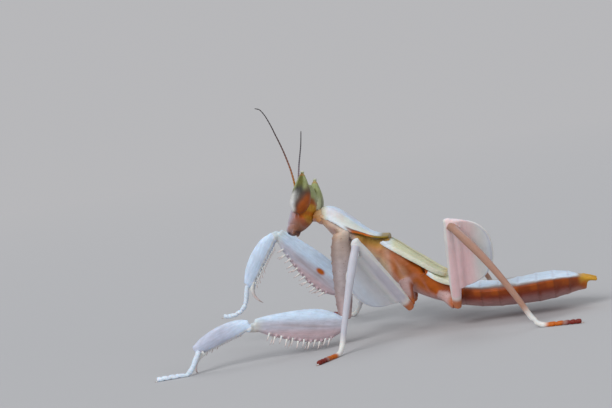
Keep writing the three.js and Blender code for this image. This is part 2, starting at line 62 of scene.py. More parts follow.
MILLI = 0.001
SIDES = ("left", "right")
LEGS = [kind + "_" + side for kind in ("fore", "mid", "hind") for side in SIDES]
ABDOMEN = ["abdomen_%d" % number for number in range(1, 9)]
UP = Vector((0, 0, 1))

# Distances in millimetres.
MERGE_DISTANCE = 0.002
FLOOR_GAP = 0.01
FAR_OFF = 9.0

FACET_ANGLE = radians(35)
FEELER_FACETS = 6
RINGS_PER_JOINT = 8


# ---------------------------------------------------------------- colours


def linear(red, green, blue):
    """A colour given as it is seen, as the renderer's linear values."""
    return tuple(c / 12.92 if c <= 0.04045 else ((c + 0.055) / 1.055) ** 2.4 for c in (red, green, blue))


def colour_property(name, description, *seen):
    return FloatVectorProperty(
        name=name, description=description, default=linear(*seen), subtype="COLOR", size=3, min=0, max=1
    )


class MantisColours(bpy.types.PropertyGroup):
    # Frost also paints the light from above on the tops of the legs.
    frost: colour_property("Frost", "Bluish white of upper edges and lobes", 0.81, 0.88, 0.96)
    milk: colour_property("Milk", "Plain white cuticle", 0.85, 0.85, 0.84)
    lavender: colour_property("Lavender", "Cool shade of the leg sides", 0.70, 0.70, 0.77)
    petal: colour_property("Petal", "Pink of the leg sides and hips", 0.80, 0.64, 0.64)
    blush: colour_property("Blush", "Rose white of the hind lobes", 0.90, 0.76, 0.77)
    tan: colour_property("Tan", "Pinkish tan of the throat and fore hips", 0.75, 0.64, 0.52)
    # On the fore hips, dusk is partly their own greyish brown and partly painted shade.
    dusk: colour_property("Dusk", "Greyish brown of the fore hips", 0.62, 0.55, 0.52)
    clay: colour_property("Clay", "Pinkish brown of the face", 0.55, 0.37, 0.28)
    # On the flanks and the belly's side, amber, rust and wine are partly the body's own colour and partly
    # painted shade with a glow of light through the body.
    amber: colour_property("Amber", "Orange of the flanks", 0.72, 0.36, 0.03)
    rust: colour_property("Rust", "Deep orange brown of the lower flanks", 0.58, 0.27, 0.02)
    wine: colour_property("Wine", "Dark red of the feet and the belly's side", 0.45, 0.13, 0.09)
    honey: colour_property("Honey", "Yellow of the neck joint and the tail", 0.75, 0.56, 0.16)
    moss: colour_property("Moss", "Olive of the shield's rear margin", 0.50, 0.41, 0.06)
    leaf: colour_property("Leaf", "Pale green of the eyes and brow", 0.59, 0.62, 0.43)
    olive: colour_property("Olive", "Darker green of the upper eyes", 0.35, 0.35, 0.14)
    slate: colour_property("Slate", "Grey inside of the eyes", 0.22, 0.21, 0.18)
    cream: colour_property("Cream", "Yellowish white of the wing pads", 0.82, 0.83, 0.71)
    umber: colour_property("Umber", "Brown of flecks, lines and spine tips", 0.36, 0.20, 0.12)
    soot: colour_property("Soot", "Dark grey of the feelers", 0.20, 0.18, 0.19)
    # Ink also paints the shadow line along the bottom of the mouth.
    ink: colour_property("Ink", "Bluish black marks of the mouth", 0.11, 0.11, 0.20)
    backdrop: colour_property("Backdrop", "Floor and backdrop", 0.72, 0.72, 0.73)


def number_property(name, description, default, **limits):
    return FloatProperty(name=name, description=description, default=default, **limits)


def size_property(name, description, default):
    """A size in millimetres."""
    return number_property(name, description + ", in millimetres", default, min=0, precision=3)


def angle_property(name, description, degrees):
    return number_property(name, description, radians(degrees), subtype="ANGLE")


class MantisSizes(bpy.types.PropertyGroup):
    body_grain: size_property("Body Grain", "Mesh spacing on the trunk", 0.12)
    leg_grain: size_property("Leg Grain", "Mesh spacing on the legs", 0.08)
    head_grain: size_property("Head Grain", "Mesh spacing on the head", 0.06)
    lobe_thickness: number_property(
        "Lobe Thickness",
        "Share of the solid's thickness that a leg lobe keeps at its rim",
        0.4,
        min=0.1,
        max=1,
        subtype="FACTOR",
    )
    feeler_root: size_property("Feeler Root", "Radius of a feeler at its root", 0.15)
    feeler_tip: size_property("Feeler Tip", "Radius of a feeler at its tip", 0.055)
    spine_root: size_property("Spine Root", "Radius of a spine at its root", 0.13)
    camera_distance: number_property(
        "Camera Distance", "From the camera to its target", 0.2, unit="LENGTH"
    )
    camera_lens: number_property("Lens", "Focal length in millimetres", 100, subtype="DISTANCE_CAMERA")
    camera_azimuth: angle_property("Azimuth", "Turn of the camera", 8)
    camera_elevation: angle_property("Elevation", "Rise of the camera", 4)
    camera_roll: angle_property("Roll", "Lean of the camera", -9)
    light_power: number_property("Light Power", "Scale of all the lamps", 1.0, min=0, subtype="FACTOR")
    feeler_segments: IntProperty(
        name="Feeler Joints", description="Joints along each feeler", default=34, min=4
    )


def sizes():
    return bpy.context.scene.mantis_sizes


def colour(name):
    return np.array(getattr(bpy.context.scene.mantis_colours, name)[:])


# ---------------------------------------------------------------- mesh tools


def deselect():
    bpy.ops.object.select_all(action="DESELECT")


def pick(piece):
    deselect()
    piece.select_set(True)
    bpy.context.view_layer.objects.active = piece


def shape(piece, kind, **settings):
    """Adds a modifier and applies it."""
    pick(piece)
    modifier = piece.modifiers.new(kind.title(), kind)
    for key, value in settings.items():
        setattr(modifier, key, value)
    bpy.ops.object.modifier_apply(modifier=modifier.name)


def smooth_out(piece, times, **settings):
    shape(piece, "SMOOTH", factor=0.5, iterations=times, **settings)


def place_in_scene(name, mesh):
    piece = bpy.data.objects.new(name, mesh)
    bpy.context.scene.collection.objects.link(piece)
    return piece


def cast(node):
    """A working copy of a node in millimetres, its loose triangles merged."""
    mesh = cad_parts[node].data.copy()
    mesh.transform(Matrix.Scale(1 / MILLI, 4))
    mesh.materials.clear()
    piece = place_in_scene(node + "_cast", mesh)
    pick(piece)
    bpy.ops.object.mode_set(mode="EDIT")
    bpy.ops.mesh.select_all(action="SELECT")
    bpy.ops.mesh.customdata_custom_splitnormals_clear()
    bpy.ops.mesh.remove_doubles(threshold=MERGE_DISTANCE)
    bpy.ops.mesh.tris_convert_to_quads(face_threshold=FACET_ANGLE, shape_threshold=FACET_ANGLE)
    bpy.ops.object.mode_set(mode="OBJECT")
    return piece


def soften(piece, sharp=55):
    """Rounds the facets, and keeps the edges that turn by more than an angle."""
    work = bmesh.new()
    work.from_mesh(piece.data)
    crease = work.edges.layers.float.get("crease_edge") or work.edges.layers.float.new("crease_edge")
    for edge in work.edges:
        if len(edge.link_faces) == 2 and edge.calc_face_angle(0) > radians(sharp):
            edge[crease] = 1
    work.to_mesh(piece.data)
    work.free()
    shape(piece, "SUBSURF", levels=2, render_levels=2)


def soft_places(nodes):
    """Points of the softened nodes, as a guide to their outlines."""
    guide = []
    for node in nodes:
        model = cast(node)
        soften(model)
        guide.append(places(model))
        bpy.data.objects.remove(model)
    return np.concatenate(guide)


def read_points(mesh, field="co"):
    flat = np.empty(len(mesh.vertices) * 3)
    mesh.vertices.foreach_get(field, flat)
    return flat.reshape(-1, 3)


def places(piece):
    return read_points(piece.data)


def normals(piece):
    return read_points(piece.data, "normal")


def move(piece, points):
    piece.data.vertices.foreach_set("co", points.ravel())
    piece.data.update()


def tree(mesh, unit=1.0):
    """A search tree over a mesh's faces."""
    return BVHTree.FromPolygons([v.co / unit for v in mesh.vertices], [p.vertices[:] for p in mesh.polygons])


def node_tree(node):
    return tree(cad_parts[node].data, MILLI)


def reach_out(pieces, near=0.3, push=0.09):
    """Swells each piece a little where a neighbour is close, so that the skin closes over the joint."""
    trees = [tree(piece.data) for piece in pieces]
    for piece in pieces:
        points, out = places(piece), normals(piece)
        others = [t for t, other in zip(trees, pieces) if other is not piece]
        for index, point in enumerate(points):
            gaps = [found[3] for found in (t.find_nearest(Vector(point), near) for t in others) if found[0]]
            if gaps:
                points[index] += out[index] * push * min(1, (near - min(gaps)) / (0.5 * near))
        move(piece, points)


def join(name, pieces):
    pick(pieces[0])
    for piece in pieces:
        piece.select_set(True)
    bpy.ops.object.join()
    pieces[0].name = name
    pieces[0].data.name = name
    return pieces[0]


def plug(place, radius):
    """A ball that bridges the clearance of a joint inside the skin."""
    deselect()
    bpy.ops.mesh.primitive_ico_sphere_add(subdivisions=3, radius=radius, location=place)
    bpy.ops.object.transform_apply()
    return bpy.context.object


def skin(name, nodes, grain, swell, smooth, sharp=55, trim=None, plugs=()):
    """One closed skin over several nodes."""
    casts = []
    for node in nodes:
        piece = cast(node)
        if trim:
            trim(piece)
        soften(piece, sharp)
        casts.append(piece)
    if len(casts) > 1:
        reach_out(casts)
    piece = join(name, casts + [plug(place, radius) for place, radius in plugs])
    shape(piece, "REMESH", mode="VOXEL", voxel_size=grain, use_smooth_shade=True)
    drop_bubbles(piece)
    smooth_out(piece, smooth)
    move(piece, places(piece) + normals(piece) * swell)
    return piece


def drop_bubbles(piece, least_share=0.02):
    """Drops the small closed bubbles that a remesh leaves inside a skin."""
    work = bmesh.new()
    work.from_mesh(piece.data)
    seen, groups = set(), []
    for start in work.verts:
        if start in seen:
            continue
        group, stack = [], [start]
        seen.add(start)
        while stack:
            vertex = stack.pop()
            group.append(vertex)
            others = {edge.other_vert(vertex) for edge in vertex.link_edges} - seen
            seen |= others
            stack.extend(others)
        groups.append(group)
    largest = max(len(group) for group in groups)
    for group in groups:
        if len(group) < least_share * largest:
            bmesh.ops.delete(work, geom=group, context="VERTS")
    work.to_mesh(piece.data)
    work.free()


def hits(points, node, within):
    """The points within a distance of a node, as (index, nearest place on the node, distance)."""
    search = node_tree(node)
    low, high = (np.array(corner) for corner in corners(node))
    inside = np.all((points > low - within) & (points < high + within), axis=1)
    for index in np.flatnonzero(inside):
        place, _, _, gap = search.find_nearest(Vector(points[index]), within)
        if place is not None:
            yield index, place, gap


def nearness(points, nodes, within=1.5):
    """How far each point lies from the nearest of the nodes, where that is within a distance."""
    found = np.full(len(points), FAR_OFF)
    for node in nodes:
        for index, _, gap in hits(points, node, within):
            found[index] = min(found[index], gap)
    return found


def close_up(piece, nodes, reach, sink=0.04):
    """Draws a skin onto the plates that lie near it, so that no gap shows between them."""
    points = places(piece)
    moved = points.copy()
    best = np.full(len(points), reach)
    for node in nodes:
        for index, place, gap in hits(points, node, reach):
            if gap < best[index]:
                best[index] = gap
                way = np.array(place) - points[index]
                way *= 1 + sink / max(gap, 0.01)
                moved[index] = points[index] + way * min(1.0, 2.5 * (1 - gap / reach))
    move(piece, moved)


def weld(piece, spots, times):
    """Smooths a skin round its joints. The spots are (place, radius) pairs."""
    points = places(piece)
    weight = np.zeros(len(points))
    for place, radius in spots:
        weight = np.maximum(weight, ramp(distance(points, place), radius, 0.6 * radius))
    group = piece.vertex_groups.new(name="weld")
    for index in np.flatnonzero(weight > 0.02):
        group.add([int(index)], float(weight[index]), "REPLACE")
    smooth_out(piece, times, vertex_group="weld")
    piece.vertex_groups.remove(piece.vertex_groups["weld"])


def store(piece, name, kind, values):
    attribute = piece.data.attributes.new(name, kind, "POINT")
    attribute.data.foreach_set("color" if kind == "FLOAT_COLOR" else "vector", values.ravel())


def set_down(piece, paint, lay, material, slot, *nodes):
    """Stores the colours and the lay, sets the piece in metres and gives it its place in the frame."""
    points = places(piece)
    points[:, 2] = np.maximum(points[:, 2], FLOOR_GAP)
    move(piece, points)
    store(piece, "Paint", "FLOAT_COLOR", paint)
    store(piece, "Lay", "FLOAT_VECTOR", lay)
    piece.data.transform(Matrix.Scale(MILLI, 4))
    piece.data.materials.clear()
    piece.data.materials.append(material)
    for face in piece.data.polygons:
        face.material_index = 0
    pick(piece)
    bpy.ops.object.shade_smooth()
    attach(piece, "root")
    if nodes:
        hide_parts(*nodes)


# ---------------------------------------------------------------- measures of the nodes, in millimetres


def corners(node):
    low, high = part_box(node)
    return low / MILLI, high / MILLI


def middle(node):
    low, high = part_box(node)
    return (low + high) / 2 / MILLI


def points_of(node):
    return np.unique(np.round(read_points(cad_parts[node].data) / MILLI, 3), axis=0)


def distance(points, place):
    return np.linalg.norm(points - np.array(place), axis=1)


def measured(points, origin, *ways):
    """How far points lie from an origin along each of some directions."""
    local = points - np.array(origin)
    return [local @ np.array(way) for way in ways]


def meeting(first, second, slack=0.25):
    """Where two nodes come closest."""
    a, b = points_of(first), points_of(second)
    gaps = np.linalg.norm(a[:, None] - b[None], axis=2)
    rows, columns = np.where(gaps < gaps.min() + slack)
    return Vector((a[rows].mean(0) + b[columns].mean(0)) / 2)


def ends(node, depth=0.3):
    """The two ends of a long node."""
    points = points_of(node)
    centre = points.mean(0)
    axis = np.linalg.svd(points - centre, full_matrices=False)[2][0]
    along = (points - centre) @ axis
    caps = along < along.min() + depth, along > along.max() - depth
    return [Vector(points[cap].mean(0)) for cap in caps]


# ---------------------------------------------------------------- painting tools


def ramp(values, start, end):
    """0 at start, 1 at end, smooth between."""
    t = np.clip((values - start) / (end - start), 0, 1)
    return t * t * (3 - 2 * t)


def band(values, centre, half, soft):
    """1 within half of the centre, 0 further out."""
    return 1 - ramp(np.abs(values - centre), half, half + soft)


class Coat:
    """Colours laid over each other on the points of a piece. The fourth value is how thick the flecks lie."""

    def __init__(self, count, base):
        self.values = np.empty((count, 4))
        self.values[:, :3] = colour(base)
        self.values[:, 3] = 0

    def lay(self, name, weight):
        weight = np.clip(weight, 0, 1)[:, None]
        self.values[:, :3] = self.values[:, :3] * (1 - weight) + colour(name) * weight

    def fleck(self, weight):
        self.values[:, 3] = np.maximum(self.values[:, 3], np.clip(weight, 0, 1))


def outline(points, values, x, cells, smooth=3):
    """A value taken from the points in each cell along X, smoothed and read at x."""
    low, high = points[:, 0].min(), points[:, 0].max()
    index = np.clip(((points[:, 0] - low) / (high - low) * cells).astype(int), 0, cells - 1)
    line = np.full(cells, np.nan)
    for cell in np.unique(index):
        line[cell] = values(points[index == cell])
    good = ~np.isnan(line)
    line = np.interp(np.arange(cells), np.arange(cells)[good], line[good])
    for _ in range(smooth):
        line = np.convolve(np.pad(line, 1, mode="edge"), (0.25, 0.5, 0.25), mode="valid")
    return np.interp((x - low) / (high - low) * cells - 0.5, np.arange(cells), line)


def column(pick_one, axis):
    """What outline reads in a cell: one of a coordinate's values, such as the largest."""
    return lambda part: pick_one(part[:, axis])


def sideways(pick_one, centre):
    """The same for how far the points reach to either side of a middle line."""
    return lambda part: pick_one(np.abs(part[:, 1] - centre))


# ---------------------------------------------------------------- materials


class Graph:
    """A node tree, and short ways to add to it."""

    def __init__(self, owner):
        owner.use_nodes = True
        self.nodes = owner.node_tree.nodes
        self.links = owner.node_tree.links

    def feed(self, node, inputs):
        """Links sockets to a node's inputs, and sets plain values on them."""
        for key, value in inputs.items():
            if isinstance(value, bpy.types.NodeSocket):
                self.links.new(value, node.inputs[key])
            else:
                node.inputs[key].default_value = value

    def node(self, kind, inputs=None, **settings):
        made = self.nodes.new(kind)
        for key, value in settings.items():
            setattr(made, key, value)
        self.feed(made, inputs or {})
        return made

    def noise(self, vector, scale, detail=2.0, rough=0.5):
        inputs = {"Vector": vector, "Scale": scale, "Detail": detail, "Roughness": rough}
        return self.node("ShaderNodeTexNoise", inputs).outputs["Fac"]

    def span(self, value, low, high, to_low, to_high):
        inputs = {"Value": value, "From Min": low, "From Max": high, "To Min": to_low, "To Max": to_high}
        return self.node("ShaderNodeMapRange", inputs).outputs["Result"]

    def mix(self, factor, first, second, blend="MIX"):
        inputs = {0: factor, 6: first, 7: second}
        return self.node("ShaderNodeMix", inputs, data_type="RGBA", blend_type=blend).outputs[2]

    def maths(self, operation, first, second):
        return self.node("ShaderNodeMath", {0: first, 1: second}, operation=operation).outputs[0]

    def times(self, first, second):
        return self.maths("MULTIPLY", first, second)

    def blend(self, share, first, second, output):
        """Ends the tree in a mix of two shaders."""
        mixed = self.node("ShaderNodeMixShader", {0: share, 1: first.outputs[0], 2: second.outputs[0]})
        self.feed(self.nodes[output], {"Surface": mixed.outputs[0]})

    def seen_directly(self):
        """1 for camera, glossy and transmission rays."""
        rays = self.node("ShaderNodeLightPath").outputs
        mirrored = self.maths("MAXIMUM", rays["Is Camera Ray"], rays["Is Glossy Ray"])
        return self.maths("MAXIMUM", mirrored, rays["Is Transmission Ray"])


class Finish(Graph):
    """A material whose colour follows the Paint attribute and whose grain follows the Lay attribute."""

    def __init__(self, name):
        self.material = bpy.data.materials.new(name)
        super().__init__(self.material)
        self.shader = self.nodes["Principled BSDF"]

    def attribute(self, name):
        return self.node("ShaderNodeAttribute", attribute_name=name).outputs

    def stretched(self, along, across):
        """The lay, in millimetres, drawn out by a factor along the limb."""
        inputs = {"Vector": self.attribute("Lay")["Vector"], "Scale": (along, across, across)}
        return self.node("ShaderNodeMapping", inputs).outputs["Vector"]

    def relief(self, height, strength, depth, invert=False):
        inputs = {"Height": height, "Strength": strength, "Distance": depth * MILLI}
        return self.node("ShaderNodeBump", inputs, invert=invert).outputs["Normal"]

    def scatter(self, weight, radius, scale):
        """Lets light in below the surface, to a depth in millimetres."""
        self.feed(
            self.shader,
            {"Subsurface Weight": weight, "Subsurface Radius": radius, "Subsurface Scale": scale * MILLI},
        )


def cuticle(name, rough=(0.34, 0.52), cloud=0.08, streak=0.08, fleck=0.0, scatter=0.3, bump=0.35):
    """Waxy insect skin: clouded, streaked along the limb, flecked, finely grained."""
    finish = Finish(name)
    paint = finish.attribute("Paint")
    across = finish.stretched(1.0, 1.0)
    along = finish.stretched(0.16, 1.0)
    clouds = finish.span(finish.noise(across, 1.1, 3), 0.3, 0.7, 1 - cloud, 1 + cloud * 0.6)
    streaks = finish.span(finish.noise(along, 4.5, 3, 0.6), 0.3, 0.7, 1 - streak, 1 + streak * 0.6)
    base = finish.mix(1.0, paint["Color"], finish.times(clouds, streaks), "MULTIPLY")
    # The flecks are dots that stand in patches, thick where the paint says so and thin elsewhere.
    spots = finish.node("ShaderNodeTexVoronoi", {"Vector": across, "Scale": 3.4, "Randomness": 1.0})
    dots = finish.span(spots.outputs["Distance"], 0.1, 0.2, 1.0, 0.0)
    patches = finish.span(finish.noise(across, 1.7, 2), 0.42, 0.58, 0.0, 1.0)
    thick = finish.times(finish.times(dots, patches), paint["Alpha"])
    umber = (*colour("umber"), 1.0)
    base = finish.mix(finish.times(thick, 0.75), base, umber)
    if fleck:
        base = finish.mix(finish.times(dots, finish.times(patches, fleck)), base, umber)
    fine = finish.noise(across, 9.0, 3, 0.6)
    grain = finish.maths("ADD", fine, finish.noise(along, 7.0, 2, 0.6))
    surface = {
        "Base Color": base,
        "Roughness": finish.span(fine, 0.3, 0.7, *rough),
        "Normal": finish.relief(grain, bump, 0.04),
        "Specular IOR Level": 0.28,
    }
    finish.feed(finish.shader, surface)
    finish.scatter(scatter, (1.0, 0.62, 0.5), 0.35)
    return finish.material


def eye_finish():
    """Smooth, finely faceted compound eye. It is dullest where the fourth value of the paint is 1."""
    finish = Finish("Eye")
    paint = finish.attribute("Paint")
    lay = finish.stretched(1.0, 1.0)
    cells = finish.node("ShaderNodeTexVoronoi", {"Vector": lay, "Scale": 20.0, "Randomness": 0.3})
    tone = finish.span(finish.noise(lay, 1.6, 3), 0.3, 0.7, 0.85, 1.1)
    speck = finish.span(finish.noise(lay, 14.0, 2), 0.35, 0.65, 0.92, 1.05)
    surface = {
        "Base Color": finish.mix(1.0, paint["Color"], finish.times(tone, speck), "MULTIPLY"),
        "Roughness": finish.span(paint["Alpha"], 0.0, 1.0, 0.36, 0.55),
        "Normal": finish.relief(cells.outputs["Distance"], 0.2, 0.012, invert=True),
        "Specular IOR Level": 0.3,
        "Coat Weight": 0.06,
        "Coat Roughness": 0.3,
    }
    finish.feed(finish.shader, surface)
    finish.scatter(0.2, (0.9, 0.9, 0.6), 0.4)
    return finish.material


def eye_material():
    return bpy.data.materials.get("Eye") or eye_finish()


# ---------------------------------------------------------------- head

HEAD_LEAN, HEAD_NOD, HEAD_TURN = radians(-19), radians(5), radians(-14)
HEAD_FROM_NECK = Vector((-1.72, 0.03, 0.94))
MUZZLE = ((Vector((-1.05, 0, -2.2)), 0.66), (Vector((-0.7, 0, -2.3)), 0.6))
EYE_FOOT, EYE_HEIGHT = -0.7, 5.2
OCELLI = ((-0.54, -0.32, 1.75), (-0.54, 0.32, 1.75), (-0.62, 0, 1.42))
OCELLUS_RADIUS, LIP_WELD = 0.13, 1.9


def head_frame():
    """From the head's own frame, face to -X, to the row's, in millimetres."""
    lean, nod, turn = (
        Matrix.Rotation(angle, 3, axis)
        for angle, axis in ((HEAD_LEAN, "X"), (HEAD_NOD, "Y"), (HEAD_TURN, "Z"))
    )
    return turn @ nod @ lean, middle("neck") + HEAD_FROM_NECK


def in_head(points):
    turn, origin = head_frame()
    return (points - np.array(origin)) @ np.array(turn)


def head_normals(piece):
    return normals(piece) @ np.array(head_frame()[0])


def bead(name, place, radius, segments=16):
    """A small closed ball in the head's own frame."""
    turn, origin = head_frame()
    deselect()
    bpy.ops.mesh.primitive_uv_sphere_add(segments=segments, ring_count=segments // 2, radius=radius)
    piece = bpy.context.object
    piece.name = name
    piece.data.transform(Matrix.Translation(origin) @ turn.to_4x4() @ Matrix.Translation(Vector(place)))
    return piece


def face_coat(piece, local):
    """Pink muzzle, orange and yellow cheeks, green brow and dark marks at the jaws, with a painted highlight
    down the edges of the face's front, painted shade and glow on the near side of the back of the head and
    round the near eye, and a painted shadow line along the bottom of the mouth.
    """
    x, y, z = local.T
    backward = head_normals(piece)[:, 0]
    front, rear = -backward, ramp(backward, -0.3, 0.4)
    coat = Coat(len(x), "clay")
    coat.lay("rust", 0.4 * ramp(x, -0.3, 0.7) * ramp(z, -2.2, -1.0))
    coat.lay("leaf", ramp(z, 0.5, 1.5))
    coat.lay("cream", 0.75 * rear * band(z, 0.9, 0.5, 0.6) * ramp(y, -0.2, 1.0))
    # Painted shade and glow of light through the head: rust and amber on the near side of the back of the
    # head.
    coat.lay("rust", 0.9 * rear * ramp(-y, -0.3, 0.9) * band(z, 0.2, 0.8, 0.7))
    coat.lay("amber", 0.6 * rear * band(z, 0.0, 0.5, 0.6) * ramp(-y, -1.2, 0.2))
    # Painted shade and glow: rust round the foot of the near eye.
    eye_gap = nearness(places(piece), ["eye_left"])
    coat.lay("rust", 0.85 * ramp(eye_gap, 1.4, 0.3) * ramp(x, -1.1, 0.1) * ramp(z, 1.0, 0.2))
    coat.lay("honey", 0.9 * ramp(x, 0.5, 1.1) * band(z, -0.25, 0.6, 0.45))
    coat.lay("amber", 0.75 * ramp(x, 0.1, 0.9) * band(z, -0.9, 0.4, 0.45))
    coat.lay("petal", 0.3 * ramp(x, 0.1, 0.8) * ramp(z, -1.0, -1.5))
    coat.lay("honey", 0.7 * ramp(x, 0.7, 1.2) * band(z, -1.3, 0.3, 0.4))
    coat.lay("rust", 0.6 * ramp(np.hypot(x - 0.75, z + 1.65), 0.5, 0.2))
    coat.lay("petal", 0.35 * ramp(front, -0.2, 0.5) * ramp(z, 0.4, -0.8))
    # Painted highlight: lavender on the turning edges of the face's front.
    coat.lay("lavender", 0.85 * ramp(front, 0.25, 0.85) * ramp(z, 0.6, -0.4) * ramp(np.abs(y), 2.2, 1.2))
    coat.lay("lavender", 0.2 * ramp(z, -2.0, -2.5) * ramp(-x, 0.4, 1.0))
    coat.lay("umber", 0.4 * ramp(z, -1.9, -2.6))
    # The middle of the face's front goes back to clay, so that the painted highlight stays on its edges.
    coat.lay("clay", 0.5 * ramp(front, 0.75, 1.0) * ramp(np.abs(y), 0.5, 0.2))
    for side in (-1, 1):
        mark = np.hypot((x + 1.35) / 1.1, (y - side * 0.42) / 0.8)
        coat.lay("ink", 0.9 * ramp(mark, 0.42, 0.16) * ramp(z, -2.5, -2.75))
    # Painted shadow: a thin dark line along the bottom of the mouth, where it meets the fore femur.
    coat.lay("ink", 0.5 * band(z, -2.6, 0.03, 0.12) * ramp(x, -0.7, -0.2))
    coat.fleck(0.35 * ramp(z, 0.5, -1.0) * ramp(front, 0.9, 0.3))
    return coat.values


class MANTIS_OT_head(bpy.types.Operator):
    """Head case with its brow, cheeks, lip, jaws and palps"""

    bl_idname = "mantis.head"
    bl_label = "Head"

    def execute(self, context):
        nodes = ["head", "mouthparts"]
        lips = meeting(*nodes)
        turn, origin = head_frame()
        muzzle = [(origin + turn @ place, radius) for place, radius in MUZZLE]
        piece = skin("head_case", nodes, sizes().head_grain, swell=0.05, smooth=6, plugs=muzzle)
        close_up(piece, ["eye_left", "eye_right"], reach=0.85, sink=-0.02)
        weld(piece, [(lips, LIP_WELD)], times=40)
        # The lip is set off from the face by a groove, and the face has a shallow groove down each side.
        local = in_head(places(piece))
        x, y, z = local.T
        lip = band(z, -1.75, 0.02, 0.09) * ramp(-x, 0.2, 0.8)
        face = band(np.abs(y), 0.55, 0.02, 0.12) * band(z, -1.0, 0.5, 0.3) * ramp(-x, 0.2, 0.8)
        jaws = band(np.abs(y), 0.0, 0.02, 0.07) * ramp(z, -2.3, -2.5)
        lift = -0.05 * lip - 0.05 * face - 0.06 * jaws
        move(piece, places(piece) + normals(piece) * lift[:, None])
        material = cuticle("Face", rough=(0.38, 0.55), cloud=0.14, streak=0.14, fleck=0.06)
        set_down(piece, face_coat(piece, local), local[:, ::-1], material, "blush", *nodes)
        for number, place in enumerate(OCELLI, 1):
            lens = bead("ocellus_%d" % number, place, OCELLUS_RADIUS)
            points = places(lens)
            set_down(lens, Coat(len(points), "honey").values, points, eye_material(), "eye")
        return {"FINISHED"}


def shape_eye(piece, height, knob):
    """Swells the end knob and draws in the cone below it."""
    lift = 0.06 * knob - 0.05 * band(height, 0.91, 0.01, 0.03)
    move(piece, places(piece) + normals(piece) * lift[:, None])


def eye_coat(piece, side, height, knob):
    """Green cone, white front, slate middle and, low on the outer side, an orange patch of painted shade and
    glow.
    """
    backward, leftward, _ = head_normals(piece).T
    front, inner = -backward, leftward * (1 if side == "left" else -1)
    outer = ramp(inner, 0.5, 0.0)
    margin = ramp(backward, *((0.97, 1.14) if side == "left" else (0.8, 0.97)))
    outer_face = outer * (1 - margin)
    warm = height - 0.06 - 0.45 * backward
    coat = Coat(len(height), "slate")
    coat.lay("olive", ramp(height, 0.5, 0.7))
    coat.lay("leaf", ramp(inner, 0.2, 0.6))
    spot = np.hypot(height - 0.63, 0.35 * (backward - 0.3))
    coat.lay("olive", 0.9 * ramp(inner, 0.2, 0.6) * ramp(spot, 0.12, 0.05))
    coat.lay("leaf", 0.9 * ramp(backward, 0.25, 0.7) * ramp(height, 0.42, 0.6))
    # Painted shade and glow: umber low at the rear of the outer face, and a rust and amber patch below it.
    coat.lay("umber", 0.6 * ramp(warm, 0.3, 0.05) * outer_face)
    glow = ramp(warm, 0.1, -0.18) * ramp(height, 0.56, 0.32) * ramp(front, 0.75, 0.3) * outer_face
    coat.lay("rust", 0.9 * glow)
    coat.lay("amber", 0.3 * glow)
    coat.lay("cream", 0.5 * margin * outer * band(height, 0.3, 0.2, 0.15))
    coat.lay("clay", 0.7 * ramp(height, 0.14, 0.02) * ramp(front, -0.2, 0.3) * outer)
    coat.lay("cream", 0.95 * ramp(inner, 0.25, 0.6) * ramp(height, 0.6, 0.3))
    coat.lay("milk", 0.6 * ramp(inner, 0.3, 0.6) * ramp(height, 0.35, 0.1))
    rim = ramp(front, -0.1, 0.5) * (0.75 + 0.15 * ramp(height, 0.4, 0.25))
    coat.lay("milk", rim * ramp(height, 0.56, 0.38) * ramp(height, -0.02, 0.06))
    coat.lay("leaf", 0.9 * ramp(front, 0.2, 0.65) * ramp(height, 0.42, 0.6))
    coat.lay("amber", 0.35 * band(height, 0.885, 0.012, 0.04))
    coat.lay("leaf", knob)
    coat.lay("milk", 0.55 * knob)
    coat.fleck(ramp(warm, 0.22, 0.04) * outer)
    return coat.values


class MANTIS_OT_eyes(bpy.types.Operator):
    """Pair of conical eyes with their end knobs"""

    bl_idname = "mantis.eyes"
    bl_label = "Eyes"

    def execute(self, context):
        for side in SIDES:
            node = "eye_" + side
            piece = skin(node + "_lens", [node], grain=0.05, swell=0.05, smooth=6)
            local = in_head(places(piece))
            height = (local[:, 2] - EYE_FOOT) / EYE_HEIGHT
            knob = ramp(height, 0.925, 0.955)
            shape_eye(piece, height, knob)
            set_down(piece, eye_coat(piece, side, height, knob), local, eye_material(), "eye", node)
        return {"FINISHED"}


# ---------------------------------------------------------------- feelers


def ring_centres(node, count, start):
    """Centres of the rings of a lofted node with that many facets, from the end nearest a place."""
    piece = cast(node)
    work = bmesh.new()
    work.from_mesh(piece.data)
    work.verts.ensure_lookup_table()
    first = min(work.verts, key=lambda v: (v.co - start).length)
    ring = sorted(work.verts, key=lambda v: (v.co - first.co).length)[:count]
    seen, centres = set(), []
    while ring:
        centres.append(sum((v.co for v in ring), Vector()) / len(ring))
        seen.update(v.index for v in ring)
        nearby = {e.other_vert(v).index for v in ring for e in v.link_edges} - seen
        ring = [work.verts[i] for i in sorted(nearby)]
    work.free()
    bpy.data.objects.remove(piece)
    return centres


def curve_through(points, samples, steps=24):
    """Even points on a smooth curve through a few places."""
    stops = np.array([points[0], *points, points[-1]], dtype=float)
    stops[0] = 2 * stops[1] - stops[2]
    stops[-1] = 2 * stops[-2] - stops[-3]
    dense = []
    for i in range(1, len(stops) - 2):
        a, b, c, d = stops[i - 1 : i + 3]
        slope, bend, twist = c - a, 2 * a - 5 * b + 4 * c - d, 3 * b - a - 3 * c + d
        for t in np.linspace(0, 1, steps, endpoint=False):
            dense.append(0.5 * (2 * b + slope * t + bend * t**2 + twist * t**3))
    dense.append(stops[-2])
    dense = np.array(dense)
    length = np.concatenate([[0], np.cumsum(np.linalg.norm(np.diff(dense, axis=0), axis=1))])
    even = np.linspace(0, length[-1], samples)
    return np.stack([np.interp(even, length, dense[:, k]) for k in range(3)], axis=1)


